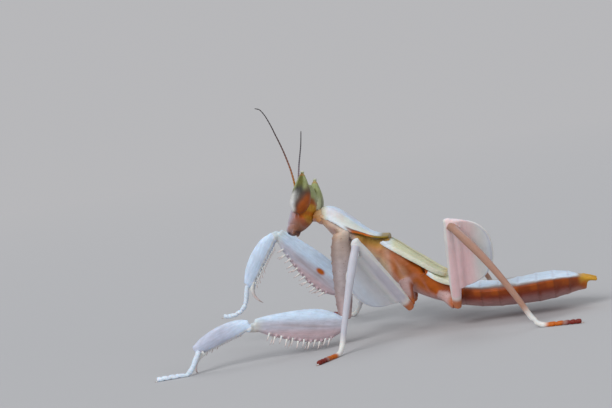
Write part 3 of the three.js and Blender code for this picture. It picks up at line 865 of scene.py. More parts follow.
def tube(name, path, radii, facets):
    """A closed round tube along a path, and how far along it each point lies."""
    forward = np.gradient(path, axis=0)
    forward /= np.linalg.norm(forward, axis=1)[:, None]
    side = np.cross(forward[0], (0.3, 0.9, 0.2))
    verts, faces = [], [list(range(facets))[::-1]]
    for place, ahead, radius in zip(path, forward, radii):
        side = side - ahead * side.dot(ahead)
        side /= np.linalg.norm(side)
        lift = np.cross(ahead, side)
        for angle in 2 * pi * np.arange(facets) / facets:
            verts.append(place + radius * (cos(angle) * side + sin(angle) * lift))
    for i in range(len(path) - 1):
        ring, above = i * facets, (i + 1) * facets
        for j in range(facets):
            k = (j + 1) % facets
            faces.append([ring + j, ring + k, above + k, above + j])
    faces.append([(len(path) - 1) * facets + j for j in range(facets)])
    mesh = bpy.data.meshes.new(name)
    mesh.from_pydata([tuple(v) for v in verts], [], faces)
    return place_in_scene(name, mesh), np.repeat(np.linspace(0, 1, len(path)), facets)


def feeler_coat(along, near):
    """Dark grey towards the tip, brown and golden towards the root; the near one's stronger brown and gold
    and the far one's stronger lavender are painted light and shade.
    """
    coat = Coat(len(along), "soot")
    # The near and far weights differ as painted light and shade.
    coat.lay("umber", ramp(along, 0.9, 0.3) * (0.8 if near else 0.2))
    coat.lay("lavender", ramp(along, 0.9, 0.2) * (0.1 if near else 0.35))
    coat.lay("amber", ramp(along, 0.6, 0.1) * (0.6 if near else 0.2))
    coat.lay("honey", ramp(along, 0.4, 0.0) * (0.85 if near else 0.4))
    return coat.values


class MANTIS_OT_feelers(bpy.types.Operator):
    """Pair of thin jointed feelers"""

    bl_idname = "mantis.feelers"
    bl_label = "Feelers"

    def execute(self, context):
        size = sizes()
        material = cuticle("Feeler", rough=(0.4, 0.6), streak=0.1, scatter=0.1, bump=0.3)
        share = np.linspace(0, 1, size.feeler_segments * RINGS_PER_JOINT + 1)
        radii = size.feeler_root + (size.feeler_tip - size.feeler_root) * share**0.7
        radii = radii * (1 + 0.14 * np.cos(2 * pi * size.feeler_segments * share))
        radii = radii * (1 + 0.55 * band(share, 0.02, 0.03, 0.03))
        radii[-3:] *= (0.9, 0.7, 0.3)
        for side in SIDES:
            node = "antenna_" + side
            centres = ring_centres(node, FEELER_FACETS, middle("head"))
            path = curve_through([tuple(c) for c in centres], len(share))
            piece, along = tube("feeler_" + side, path, radii, facets=10)
            set_down(piece, feeler_coat(along, side == "left"), places(piece), material, "feeler", node)
        return {"FINISHED"}


# ---------------------------------------------------------------- trunk

TRUNK_MIDDLE = middle("abdomen_4").y
TRUNK = ["neck", "prothorax", "mesothorax", "metathorax", *ABDOMEN, "cercus_left", "cercus_right"]
COXAE = ["coxa_" + name for name in LEGS]
CARRIERS = {"fore": "prothorax", "mid": "mesothorax", "hind": "metathorax"}
PADS = [kind + "_pad_" + side for kind in ("forewing", "hindwing") for side in SIDES]

# Radii of the balls in the hips and of the smoothing round them, in millimetres, in the order of LEGS.
HIP_BALLS = (0.75, 0.75, 0.6, 0.6, 0.6, 0.6)
HIP_WELDS = (2.6, 2.6, 1.9, 1.9, 1.9, 1.9)


def widest_height(part):
    """Height of the outermost points."""
    far = np.abs(part[:, 1] - TRUNK_MIDDLE)
    return part[far > far.max() - 0.06, 2].mean()


def tuck_up(piece):
    """Draws the sides of the throat out to the rim of the shield's front half, as one surface with it."""
    guide = soft_places(["pronotum"])
    points = places(piece)
    x, y, z = points.T
    low, high = corners("pronotum")
    centre = (low.y + high.y) / 2

    def rim_height(part):
        reach = np.abs(part[:, 1] - centre)
        return part[reach > 0.9 * reach.max(), 2].min()

    wide = outline(guide, sideways(np.max, centre), x, 40)
    below = outline(guide, rim_height, x, 40) - z
    along = (x - low.x) / (high.x - low.x)
    reach = np.abs(y - centre)
    pull = band(along, 0.3, 0.22, 0.16) * ramp(below, 1.7, 0.3) * ramp(below, -0.35, -0.1)
    pull = pull * ramp(reach, 0.4, 1.2)
    goal = np.maximum(wide - 0.12, reach)
    points[:, 1] += np.sign(y - centre) * (goal - reach) * pull
    move(piece, points)


def lift_throat(piece):
    """Slims the throat from below, under the neck."""
    points = places(piece)
    throat = band(points[:, 0], middle("neck").x + 0.2, 0.35, 0.9) * ramp(-normals(piece)[:, 2], 0.0, 0.6)
    points[:, 2] += 0.2 * throat
    move(piece, points)


def trunk_plugs(hips):
    """Balls at the hips, in the neck and under the outer front corners of the hind wing pads."""
    plugs = list(zip(hips, HIP_BALLS))
    plugs += [(meeting("neck", "prothorax"), 0.7), (middle("neck"), 0.6), (meeting("neck", "head"), 0.6)]
    for side in SIDES:
        edge = points_of("hindwing_pad_" + side)
        edge = edge[edge[:, 0] < edge[:, 0].min() + 0.5]
        corner = Vector(edge[np.abs(edge[:, 1] - TRUNK_MIDDLE).argmax()])
        inward = np.sign(TRUNK_MIDDLE - corner.y)
        plugs.append((corner + Vector((0, 0.4 * inward, 0.1)), 0.5))
    return plugs


class Trunk:
    """Where each point of the body's skin lies: its part, and its height between belly and back."""

    def __init__(self, piece):
        self.points, self.out = places(piece), normals(piece)
        self.x, y, self.z = self.points.T
        self.y = y - TRUNK_MIDDLE
        self.hip = ramp(nearness(self.points, TRUNK) - nearness(self.points, COXAE), -0.12, 0.3)
        guide = soft_places(TRUNK)
        margin = outline(guide, widest_height, self.x, 45, smooth=8)
        top = outline(guide, column(np.max, 2), self.x, 45, smooth=8)
        low = outline(guide, column(np.min, 2), self.x, 45)
        self.over = self.z - margin - 0.3 * ramp(top - margin, 0.1, 0.4)
        self.level = (self.z - low) / np.maximum(top - low, 0.1)
        self.under_shield = nearness(self.points, ["pronotum"])
        tip, end = corners("pronotum")
        self.past_tip, self.past_end = self.x - tip.x, self.x - end.x
        self.shield_front = ramp(self.past_tip / (end.x - tip.x), 0.62, 0.35)
        self.fore_hip = self.hip * ramp(self.x - corners("coxa_fore_left")[1].x, 1.2, 0.6)
        self.past_front, self.past_chest = (self.x - corner.x for corner in corners("prothorax"))
        self.past_waist = self.x - corners("abdomen_1")[0].x
        self.chest = ramp(self.past_chest, 0.8, -0.8)
        self.flank = ramp(self.past_chest, -0.8, 0.8) * ramp(self.past_waist, 1.5, -0.2)
        self.belly = ramp(self.past_waist, -0.6, 0.8)
        self.rear_flank_length = corners("abdomen_1")[0].x - corners("prothorax")[1].x - 4.0

    def paint_chest(self, coat):
        """Tan throat, pale under the shield's front half and yellow at the neck."""
        x, level, chest = self.past_front, self.level, self.chest
        coat.lay("tan", np.maximum(chest, self.flank))
        near_shield = ramp(self.under_shield, 1.3, 0.3) * ramp(self.past_tip, 0.1, 1.4)
        coat.lay("milk", 0.95 * self.shield_front * near_shield)
        coat.lay("cream", 0.45 * chest * ramp(level, 0.25, 0.6) * ramp(x, 3.6, 2.2))
        coat.lay("amber", 0.35 * chest * ramp(x, 3.2, 4.4) * ramp(level, 0.4, 0.7))
        coat.lay("petal", 0.3 * chest * ramp(x, 3.0, 1.0))
        coat.lay("honey", 0.7 * ramp(x, 1.1, -0.8))
        coat.lay("amber", 0.45 * ramp(x, 0.5, -1.1))
        coat.lay("amber", 0.3 * chest * band(level, 0.6, 0.1, 0.2))
        coat.fleck(0.8 * chest * ramp(level, 0.8, 0.4))

    def paint_flanks(self, coat):
        """Orange flanks that darken towards the waist, with pale and dark veins; the orange and rust are
        partly the body's own colour and partly painted shade with a glow of light through the body.
        """
        x, z, level, flank, past_chest = self.x, self.z, self.level, self.flank, self.past_chest
        upward = self.out[:, 2]
        # Partly painted shade and glow: amber over the flanks, and rust darkening them towards the waist.
        coat.lay("amber", 0.85 * flank)
        middle_flank = band(past_chest, 2.4, 0.8, 1.4)
        coat.lay("tan", 0.5 * flank * middle_flank * band(level, 0.42, 0.12, 0.25))
        coat.lay("clay", 0.3 * flank * middle_flank * band(level, 0.62, 0.08, 0.2))
        coat.lay("rust", 0.7 * flank * ramp(past_chest, 1.0, 3.2) * ramp(level, 0.25, 0.5))
        coat.lay("rust", 0.8 * flank * ramp((past_chest - 3.0) / self.rear_flank_length, 0, 1))
        coat.lay("amber", 0.7 * flank * ramp(past_chest, 1.6, 3.4) * ramp(level, 0.1, 0.3))
        coat.lay("petal", 0.4 * flank * ramp(level, 0.3, 0.05))
        dark_veins = np.cos(2.6 * x + 1.7 * z + 1.1 * np.sin(1.9 * z + 0.7 * x)) ** 6
        coat.lay("rust", 0.5 * flank * dark_veins * ramp(level, 0.15, 0.4))
        pale_veins = np.sin(1.3 * x + 1.3 * z + np.sin(2.2 * x)) ** 8
        coat.lay("petal", 0.2 * flank * pale_veins * ramp(level, 0.85, 0.6))
        under_rear = (1 - self.shield_front) * ramp(self.past_end, 1.0, 0.0)
        coat.lay("honey", 0.65 * under_rear * ramp(self.under_shield, 1.3, 0.5))
        coat.lay("moss", 0.45 * under_rear * ramp(self.under_shield, 0.8, 0.2))
        coat.lay("petal", 0.6 * np.maximum(self.chest, flank) * ramp(-upward, 0.35, 0.85))
        back = ramp(self.past_end, -0.3, 0.6) * ramp(np.abs(self.y), 1.5, 1.0)
        coat.lay("cream", 0.85 * back * flank * ramp(upward, 0.0, 0.4))
        coat.fleck(0.5 * flank)

    def paint_belly(self, coat):
        """White above and rust below, with a line at each segment's end and a golden tail; the rust and the
        wine lower down are partly the belly's own colour and partly painted shade with a glow of light
        through the body.
        """
        over, level, belly, reach = self.over, self.level, self.belly, np.abs(self.y)
        coat.lay("frost", belly * ramp(over, -0.08, 0.12))
        # Partly painted shade and glow: rust on the belly's side below its margin, deepening to wine lower
        # down.
        side = belly * ramp(over, 0.02, -0.14)
        coat.lay("rust", side)
        coat.lay("wine", side * (0.3 + 0.4 * ramp(over, -0.5, -1.3)) * ramp(reach, 1.0, 2.2))
        coat.lay("petal", 0.6 * side * ramp(-self.out[:, 2], 0.5, 0.95))
        coat.lay("umber", 0.6 * belly * band(over, -0.06, 0.04, 0.08))
        for node in ABDOMEN:
            past = self.x - corners(node)[1].x
            coat.lay("lavender", 0.4 * belly * band(past, -0.1, 0.05, 0.16) * ramp(over, -0.1, 0.1))
            coat.lay("umber", 0.3 * belly * band(past, -0.05, 0.03, 0.12) * ramp(over, 0.1, -0.1))
            coat.lay("amber", 0.35 * side * band(past, -0.5, 0.2, 0.4) * band(over, -0.5, 0.2, 0.4))
            mark = band(past, -0.9, 0.3, 0.4) * band(reach, 0.35, 0.1, 0.2)
            coat.lay("lavender", 0.35 * belly * mark * ramp(over, 0.1, 0.4))
        tail = self.x - corners("abdomen_8")[0].x
        coat.lay("honey", ramp(tail, 1.2, 1.9) * ramp(level, 0.3, 0.7))
        coat.lay("amber", 0.6 * ramp(tail, 1.3, 2.0) * ramp(level, 0.75, 0.4))
        coat.lay("honey", ramp(tail, 2.1, 2.5))
        coat.fleck(0.15 * belly)

    def paint_hips(self, coat):
        """Greyish brown fore hips, partly their own tone and partly painted shade, with painted shade on
        their front faces; pink middle and hind hips with an orange end.
        """
        z, out, fore = self.z, self.out, self.fore_hip
        # The fore hips' dusk is partly their own tone and partly painted shade.
        coat.lay("dusk", fore * ramp(z, 13.0, 11.6))
        coat.lay("lavender", 0.25 * fore * ramp(z, 11.5, 8.5))
        coat.lay("petal", 0.3 * fore * ramp(z, 7.0, 4.0))
        # Painted shade: umber on the front faces of the fore hips.
        coat.lay("umber", 0.3 * fore * ramp(-out[:, 0], 0.1, 0.8))
        other = self.hip * (1 - fore)
        coat.lay("petal", other)
        coat.lay("dusk", 0.45 * other)
        coat.lay("rust", 0.8 * other * ramp(out[:, 0], 0.25, 0.75))
        end = np.zeros(len(z))
        for name in LEGS:
            trochanter = meeting("coxa_" + name, "femur_" + name)
            end = np.maximum(end, ramp(distance(self.points, trochanter), 1.3, 0.5))
        coat.lay("amber", 0.85 * other * end)
        coat.fleck(self.hip * 0.9)


class MANTIS_OT_body(bpy.types.Operator):
    """Neck, breast, thorax, hips, belly and tail in one skin"""

    bl_idname = "mantis.body"
    bl_label = "Body"

    def execute(self, context):
        hips = [meeting("coxa_" + name, CARRIERS[name.split("_")[0]]) for name in LEGS]
        nodes = TRUNK + COXAE
        balls = trunk_plugs(hips)
        piece = skin("body_skin", nodes, sizes().body_grain, swell=0.05, smooth=6, plugs=balls)
        close_up(piece, PADS, reach=1.0)
        close_up(piece, ["pronotum"], reach=0.75, sink=0.3)
        tuck_up(piece)
        lift_throat(piece)
        weld(piece, list(zip(hips, HIP_WELDS)), times=30)
        trunk = Trunk(piece)
        # The fore hips have a row of low bumps down their front edge.
        bumps = np.maximum(0, np.cos(2 * pi * trunk.z / 0.95)) ** 4 * ramp(-trunk.out[:, 0], 0.55, 0.95)
        move(piece, trunk.points + trunk.out * (0.09 * trunk.fore_hip * bumps)[:, None])
        coat = Coat(len(trunk.points), "milk")
        trunk.paint_chest(coat)
        trunk.paint_flanks(coat)
        trunk.paint_belly(coat)
        trunk.paint_hips(coat)
        lay = np.stack([trunk.x, trunk.y, trunk.z], axis=1)
        material = cuticle("Body", rough=(0.38, 0.56), cloud=0.13, fleck=0.03, scatter=0.25, bump=0.45)
        set_down(piece, coat.values, lay, material, "cuticle", *nodes)
        return {"FINISHED"}


def shield_coat(out, along, share):
    """White saddle with pink and yellow tints, an orange rim line and an olive rear end."""
    coat = Coat(len(along), "frost")
    coat.lay("milk", 0.6 * ramp(share, 0.35, 0.85))
    coat.lay("cream", 0.4 * band(share, 0.75, 0.1, 0.2) * band(along, 0.5, 0.15, 0.25))
    coat.lay("petal", 0.3 * band(along, 0.42, 0.04, 0.1) * ramp(share, 0.5, 0.1))
    coat.lay("petal", 0.25 * band(along, 0.2, 0.1, 0.12) * band(share, 0.6, 0.15, 0.2))
    coat.lay("cream", 0.6 * ramp(along, 0.14, 0.04))
    coat.lay("tan", 0.4 * ramp(along, 0.1, 0.0))
    edge = 0.98 - 0.12 * ramp(along, 0.35, 0.85)
    line = ramp(share - edge, -0.03, 0.02) * ramp(along, 0.36, 0.48)
    coat.lay("amber", line)
    coat.lay("moss", line * ramp(along, 0.66, 0.8))
    coat.lay("moss", 0.9 * ramp(along, 0.8, 0.92))
    coat.lay("moss", 0.8 * ramp(-out[:, 2], 0.1, 0.45) * ramp(along, 0.4, 0.55))
    coat.lay("honey", 0.3 * ramp(along, 0.86, 0.95) * ramp(share, 0.5, 0.2))
    coat.lay("umber", 0.75 * band(share, edge, 0.008, 0.02) * band(along, 0.62, 0.2, 0.1))
    coat.fleck(0.25 * ramp(share, 0.4, 0.9))
    return coat.values


class MANTIS_OT_shield(bpy.types.Operator):
    """Saddle shield over the front of the trunk"""

    bl_idname = "mantis.shield"
    bl_label = "Shield"

    def execute(self, context):
        piece = skin("shield", ["pronotum"], grain=0.09, swell=0.03, smooth=8, sharp=70)
        points = places(piece)
        x, y, z = points.T
        centre = middle("pronotum").y
        half = outline(points, sideways(np.max, centre), x, 60)
        share = np.abs(y - centre) / half
        low, high = corners("pronotum")
        along = (x - low.x) / (high.x - low.x)
        # The plate thins towards its rim and its rear end, its upper side kept.
        thin = 0.65 * ramp(along, 0.4, 0.6) * np.maximum(ramp(share, 0.5, 0.85), ramp(along, 0.75, 0.95))
        search = node_tree("pronotum")
        for index in np.flatnonzero(thin > 0.01):
            above = Vector((x[index], centre + (y[index] - centre) * 0.95, z[index] + 5))
            top = search.ray_cast(above, -UP)[0]
            if top is not None:
                z[index] = top.z - (top.z - z[index]) * (1 - thin[index])
        lay = np.stack([x, y, z], axis=1)
        move(piece, lay)
        material = cuticle("Shield", rough=(0.34, 0.5), streak=0.06, fleck=0.02)
        set_down(piece, shield_coat(normals(piece), along, share), lay, material, "cuticle", "pronotum")
        return {"FINISHED"}


def pad_coat(out, along, share, ridges):
    """Yellowish white pad, bluish at its root, with a dark inner seam."""
    coat = Coat(len(along), "cream")
    coat.lay("frost", 0.85 * ramp(along, 0.26, 0.1))
    coat.lay("lavender", 0.3 * ramp(along, 0.12, 0.02))
    coat.lay("honey", 0.4 * ramp(along, 0.05, 0.0))
    coat.lay("milk", 0.4 * ramp(share, 0.75, 1.0))
    coat.lay("umber", 0.55 * ramp(share, 0.07, 0.0) * ramp(out[:, 2], 0.0, 0.4))
    coat.lay("honey", 0.2 * np.maximum(ridges, 0))
    coat.lay("honey", 0.35 * ramp(along, 0.9, 1.0))
    return coat.values


class MANTIS_OT_pads(bpy.types.Operator):
    """Four wing pads"""

    bl_idname = "mantis.pads"
    bl_label = "Wing Pads"

    def execute(self, context):
        finish = {"cloud": 0.06, "streak": 0.12, "fleck": 0.06, "scatter": 0.35, "bump": 0.6}
        material = cuticle("Pad", rough=(0.36, 0.5), **finish)
        for node in PADS:
            name = node.replace("pad", "pad_skin")
            piece = skin(name, [node], grain=0.08, swell=0.03, smooth=6, sharp=70)
            points, out = places(piece), normals(piece)
            x, y, z = points.T
            low, high = corners(node)
            along = (x - low.x) / (high.x - low.x)
            reach = np.abs(y - TRUNK_MIDDLE)
            half = outline(points, sideways(np.max, TRUNK_MIDDLE), x, 50)
            inner = outline(points, sideways(np.min, TRUNK_MIDDLE), x, 50)
            share = (reach - inner) / np.maximum(half - inner, 0.1)
            ridges = np.cos(2 * pi * 5.5 * share) * band(share, 0.5, 0.36, 0.1) * ramp(along, 0.04, 0.2)
            move(piece, points + out * (0.025 * ridges * ramp(out[:, 2], 0.2, 0.5))[:, None])
            lay = np.stack([x, reach, z], axis=1)
            set_down(piece, pad_coat(out, along, share, ridges), lay, material, "cream", node)
        return {"FINISHED"}


# ---------------------------------------------------------------- legs

# How the walking legs differ. Widths are in millimetres out from the femur's axis.
WALKING_LOOKS = {
    "mid": {
        "width": 1.1,
        "shaft": (1.1, 0.3),
        "tint": "petal",
        "tint_weight": 0.25,
        "grey": 0.65,
        "end_white": 0.7,
        "rim_grey": 0.6,
        "rim_white": 0.5,
        "shin": (("milk", 1.0), ("lavender", 0.65)),
    },
    "hind": {
        "width": 2.6,
        "shaft": (3.5, 1.5),
        "tint": "blush",
        "tint_weight": 0.95,
        "grey": 0.0,
        "end_white": 0.28,
        "rim_grey": 0.1,
        "rim_white": 0.8,
        # The hind shin's tan and clay are painted shade with a glow of light through the shin.
        "shin": (("tan", 1.0), ("clay", 0.7), ("petal", 0.2)),
    },
}
FOOT_KNUCKLES = (0.46, 0.62, 0.75, 0.87)

# Radii of the ball inside a joint and of the smoothing round it, in millimetres.
FORE_KNEE, KNEE, ANKLE = (0.5, 1.4), (0.42, 1.0), (0.26, 0.8)

CLAW_REACH = 2.6
CLAW_STOPS = ((-0.3, 0.13), (0.42, 0.2), (0.45, 0.98))

# How far a tooth of the comb stands out beyond its node's tip, and its length, in millimetres.
LONG_TOOTH, SHORT_TOOTH, MIDDLE_TOOTH = (0.12, 0.78), (-0.12, 0.48), (-0.14, 0.42)
LONG_TEETH = 4


def limb_map(name):
    """The joints of a leg and its femur's directions, in millimetres."""
    coxa, femur, tibia, tarsus = (part + "_" + name for part in ("coxa", "femur", "tibia", "tarsus"))
    trochanter = meeting(coxa, femur)
    knee = min(ends(tibia), key=lambda end: distance(points_of(femur), end).min())
    ankle = meeting(tibia, tarsus)
    feet = points_of(tarsus)
    toe = Vector(feet[distance(feet, ankle).argmax()])
    axis = (knee - trochanter).normalized()
    bulk = Vector(points_of(femur).mean(0)) - trochanter
    flexor = (bulk - axis * bulk.dot(axis)).normalized()
    shin = (ankle - knee).normalized()
    return {
        "trochanter": trochanter,
        "knee": knee,
        "ankle": ankle,
        "toe": toe,
        "length": (knee - trochanter).length,
        "axis": axis,
        "flexor": flexor,
        "normal": axis.cross(flexor),
        "shin": shin,
        "inward": (shin * axis.dot(shin) - axis).normalized(),
    }


def on_femur(points, joints):
    """Points by their places along the femur, out towards its flexor side and across."""
    return measured(points, joints["trochanter"], *(joints[key] for key in ("axis", "flexor", "normal")))


def nearest_part(points, nodes):
    """Index of the node that each point lies nearest to."""
    return np.stack([nearness(points, [node]) for node in nodes]).argmin(0)


def spikes(piece, sharpness=0.88):
    """The sharp points of a mesh, as (vertex index, place, direction)."""
    work = bmesh.new()
    work.from_mesh(piece.data)
    found = []
    for vertex in work.verts:
        ways = [(e.other_vert(vertex).co - vertex.co).normalized() for e in vertex.link_edges]
        if len(ways) < 3:
            continue
        mean = sum(ways, Vector()) / len(ways)
        if mean.length > sharpness:
            found.append((vertex.index, vertex.co.copy(), -mean.normalized()))
    work.free()
    return found


def node_spikes(node):
    piece = cast(node)
    found = [(place, way) for _, place, way in spikes(piece)]
    bpy.data.objects.remove(piece)
    return found


def blunt(piece):
    """Draws the spines of a cast in to low bumps."""
    for index, place, way in spikes(piece):
        piece.data.vertices[index].co = place - way * 0.4


def claw_path(joints, samples=25):
    """The bend of the claw at the end of a fore tibia."""
    first, bend, last = (
        np.array(joints["ankle"] + CLAW_REACH * (joints["shin"] * ahead + joints["inward"] * inward))
        for ahead, inward in CLAW_STOPS
    )
    t = np.linspace(0, 1, samples)[:, None]
    return first * (1 - t) ** 2 + 2 * bend * t * (1 - t) + last * t**2


def draw_in_claw(piece, joints):
    """Draws the thick claw of a tibia's cast in, where the slim one takes its place."""
    points = places(piece)
    beyond = measured(points, joints["ankle"], joints["shin"])[0] > 0.22
    root = np.array(joints["ankle"]) + 0.35 * np.array(joints["inward"])
    points[beyond] = root + (points[beyond] - root) * 0.08
    move(piece, points)


def spine_set(name, entries, root, curl):
    """Slim curved spines from (tip, direction, length, tilt) entries, with their shares along."""
    share = np.linspace(0, 1, 8)
    made, shares = [], []
    for number, (tip, way, length, tilt) in enumerate(entries):
        foot, end = np.array(tip - way * length), np.array(tip)
        bend = np.array(tilt) * curl * length
        path = foot + (end - foot) * share[:, None] + bend * share[:, None] ** 2
        radii = root * min(1, length / 0.5) * (1 - share**1.2) + 0.012
        piece, along = tube("%s_%d" % (name, number), path, radii, facets=8)
        made.append(piece)
        shares.append(along)
    return made, shares


def thin_lobe(piece, labels, joints):
    """Thins the lobe of a walking femur towards its rim and dishes it a little."""
    normal = np.array(joints["normal"])
    points = places(piece)
    _, out, side = on_femur(points, joints)
    lobe = (labels == 0) * ramp(out, 0.65, 1.5)
    keep = 1 - (1 - sizes().lobe_thickness) * lobe
    dish = 0.12 * lobe * ramp(out, 0.8, 4.0)
    points += np.outer(side * (keep - 1) - dish, normal)
    move(piece, points)
    smooth_out(piece, 2)
    # Each broad face becomes one even surface, a polynomial of the fourth order.
    points = places(piece)
    along, out, side = on_femur(points, joints)
    inside = (labels == 0) & (out > 0.9)
    rim = outline(np.stack([along, out], 1)[inside], column(np.max, 1), along, 60)
    length = joints["length"]
    region = ramp(out, 1.0, 1.6) * ramp(rim - out, 0.12, 0.5) * inside
    region = region * ramp(along, 1.0, 1.8) * ramp(length - along, 0.6, 1.4)
    terms = np.stack([(along / length) ** i * (out / 4) ** j for i in range(5) for j in range(5 - i)], 1)
    facing = normals(piece) @ normal
    for sign in (-1, 1):
        weight = ramp(sign * facing, 0.6, 0.85) * region
        face = weight > 0.3
        fit = np.linalg.lstsq(terms[face], side[face], rcond=None)[0]
        points += np.outer(weight * (terms @ fit - side), normal)
    move(piece, points)


def pinch_knuckles(piece, labels, joints):
    """Narrows a foot where its five joints meet."""
    points, out = places(piece), normals(piece)
    share = distance(points, joints["ankle"]) / (joints["toe"] - joints["ankle"]).length
    pinch = sum(band(share, joint, 0.006, 0.03) for joint in FOOT_KNUCKLES)
    move(piece, points - out * (0.08 * pinch * (labels == 2))[:, None])


def share_between(points, start, end):
    """How far each point lies along the line from one joint to the next."""
    line = end - start
    return measured(points, start, line)[0] / line.length_squared


def paint_fore(coat, limb, side_name, inner):
    """Bluish white above, pink below, partly the femur's own colours and partly painted light from above and
    shade below, with an orange spot on the femur's inner side and painted shade on the near tibia.
    """
    along, out, share = limb["along"], limb["out"], limb["share"]
    femur, tibia, inward = limb["femur"], limb["tibia"], limb["inward"]
    coat.lay("lavender", 0.8 * femur)
    # Partly painted light and shade: bluish white on the femur's upper side and pink on its lower side.
    coat.lay("frost", femur * ramp(out, 0.3, -0.45))
    coat.lay("petal", femur * 0.55 * ramp(out, 0.6, 1.5))
    middle_part = ramp(share, 0.05, 0.3) * ramp(share, 0.85, 0.55)
    coat.lay("clay", femur * 0.28 * band(out, 0.85 - 0.05 * along, 0.05, 0.22) * middle_part)
    coat.lay("cream", femur * 0.35 * ramp(share, 0.82, 0.95))
    spot = np.hypot(0.7 * limb["length"] * (share - 0.34), 1.3 * (out - 0.1))
    coat.lay("amber", femur * ramp(spot, 0.55, 0.25) * ramp(inner, 0.1, 0.5))
    coat.lay("frost", tibia)
    # Painted shade: the near tibia is far more lavender towards the knee than the far one.
    coat.lay("lavender", tibia * (0.75 if side_name == "left" else 0.15) * ramp(limb["shin_share"], 0.0, 0.5))
    coat.lay("lavender", tibia * 0.25 * ramp(inward, 0.1, 0.7))
    coat.lay("milk", tibia * 0.7 * band(inward, 0.45, 0.05, 0.15))
    coat.lay("frost", limb["tarsus"] * 0.7)
    coat.fleck(femur * 0.22)


def paint_walking(coat, limb, look):
    """A lobe that pales towards its rim, a plain shin, which on the hind legs is painted shade and glow in
    tan and clay, and a dark foot.
    """
    along, out = limb["along"], limb["out"]
    femur, tibia, tarsus, foot_share = limb["femur"], limb["tibia"], limb["tarsus"], limb["foot_share"]
    past = out - look["width"]
    shaft = femur * ramp(out, *look["shaft"])
    coat.lay("amber", femur * 0.9 * ramp(along, 1.2, 0.4))
    coat.lay(look["tint"], look["tint_weight"] * shaft * ramp(along, 0.6, 1.6))
    coat.lay("lavender", look["grey"] * shaft * ramp(along, 1.0, 2.0))
    coat.lay("milk", femur * 0.9 * ramp(out, -0.4, -0.52))
    coat.lay("milk", femur * look["end_white"] * ramp(limb["share"], 0.5, 0.95))
    coat.lay("lavender", femur * look["rim_grey"] * ramp(past, -0.6, 0.8))
    coat.lay("milk", femur * look["rim_white"] * ramp(past, -0.4, 1.2))
    coat.lay("frost", femur * 0.4 * ramp(past, 0.2, 2.0))
    reach = outline(np.stack([along, out], 1)[femur > 0], column(np.max, 1), along, 60)
    coat.lay("milk", femur * ramp(reach - out, 0.22, 0.08) * ramp(out, 1.0, 1.5))
    coat.lay("lavender", femur * 0.45 * band(reach - out, 0.3, 0.03, 0.09) * ramp(out, 1.0, 1.5))
    # On the hind legs these shin colours are painted shade and glow.
    for name, weight in look["shin"]:
        coat.lay(name, tibia * weight)
    coat.lay("milk", tibia * ramp(limb["shin_share"], 0.85, 0.97))
    coat.lay("milk", tarsus * ramp(foot_share, 0.5, 0.2))
    coat.lay("amber", tarsus * band(foot_share, 0.45, 0.12, 0.15))
    coat.lay("wine", tarsus * ramp(foot_share, 0.5, 0.75))
    coat.fleck(femur * 0.1)


def leg_paint(name, piece, joints, labels):
    """Colours and lay of a leg's skin."""
    points, facing = places(piece), normals(piece)
    kind, side_name = name.split("_")
    along, out, side = on_femur(points, joints)
    ahead, inward = np.array(joints["shin"]), np.array(joints["inward"])
    shank = np.stack(measured(points, joints["knee"], ahead, inward, np.cross(ahead, inward)), axis=1)
    femur, tibia, tarsus = (1.0 * (labels == part) for part in range(3))
    limb = {
        "along": along,
        "out": out,
        "inward": shank[:, 1],
        "length": joints["length"],
        "share": along / joints["length"],
        "femur": femur,
        "tibia": tibia,
        "tarsus": tarsus,
        "shin_share": share_between(points, joints["knee"], joints["ankle"]),
        "foot_share": share_between(points, joints["ankle"], joints["toe"]),
    }
    coat = Coat(len(points), "milk")
    if kind == "fore":
        paint_fore(coat, limb, side_name, facing[:, 1] * (1 if side_name == "left" else -1))
    else:
        paint_walking(coat, limb, WALKING_LOOKS[kind])
    # Painted light from above: frost on the upward faces of femur and tibia.
    coat.lay("frost", 0.3 * ramp(facing[:, 2], 0.3, 0.9) * (femur + tibia))
    lay = np.stack([along, out, side], axis=1)
    lay[tibia > 0] = shank[tibia > 0]
    return coat.values, lay


def fore_spines(nodes, joints):
    """Where the spines of a fore femur and the comb of its tibia stand."""
    axis, shin = joints["axis"], joints["shin"]
    thorns = node_spikes(nodes[0])
    entries = [(place + way * 0.28 + axis * 0.18, way, 1.0, axis * 0.5) for place, way in thorns]
    teeth = [
        (place, way)
        for place, way in node_spikes(nodes[1])
        if (place - joints["ankle"]).dot(shin) < 0.2 and way.dot(joints["inward"]) > 0.2
    ]
    teeth.sort(key=lambda tooth: tooth[0].dot(shin))
    lean = shin * 0.6
    for number, (place, way) in enumerate(teeth):
        reach, length = LONG_TOOTH if number >= len(teeth) - LONG_TEETH else SHORT_TOOTH
        entries.append((place + way * reach, way, length, lean))
        if number + 1 < len(teeth):
            next_place, next_way = teeth[number + 1]
            way = (way + next_way).normalized()
            reach, length = MIDDLE_TOOTH
            entries.append(((place + next_place) / 2 + way * reach, way, length, lean))
    return entries


def claw_entries(joints, name):
    """Two small claws at a foot's end."""
    points, toe = points_of("tarsus_" + name), joints["toe"]
    gap = distance(points, toe)
    ahead = (toe - Vector(points[gap < 1.2].mean(0))).normalized()
    tip_centre = Vector(points[gap < 0.65].mean(0))
    side = ahead.cross(UP)
    side = side.normalized() if side.length > 0.3 else ahead.cross(Vector((0, 1, 0))).normalized()
    entries = []
    for sign in (-1, 1):
        way = (ahead + sign * 0.45 * side).normalized()
        entries.append((tip_centre + way * 0.5, way, 0.55, -side * sign * 0.6 + ahead * 0.3))
    return entries


def set_thorns(name, made, shares, material, slot, pale, start=0.72):
    """Joins spines or claws, coloured pale with a dark tip."""
    piece = join(name, made)
    along = np.concatenate(shares)
    coat = Coat(len(along), "milk")
    coat.lay(pale, 0.4 * ramp(along, 0.2, 0.7))
    coat.lay("umber", 0.7 * ramp(along, start, 0.97))
    set_down(piece, coat.values, places(piece), material, slot)


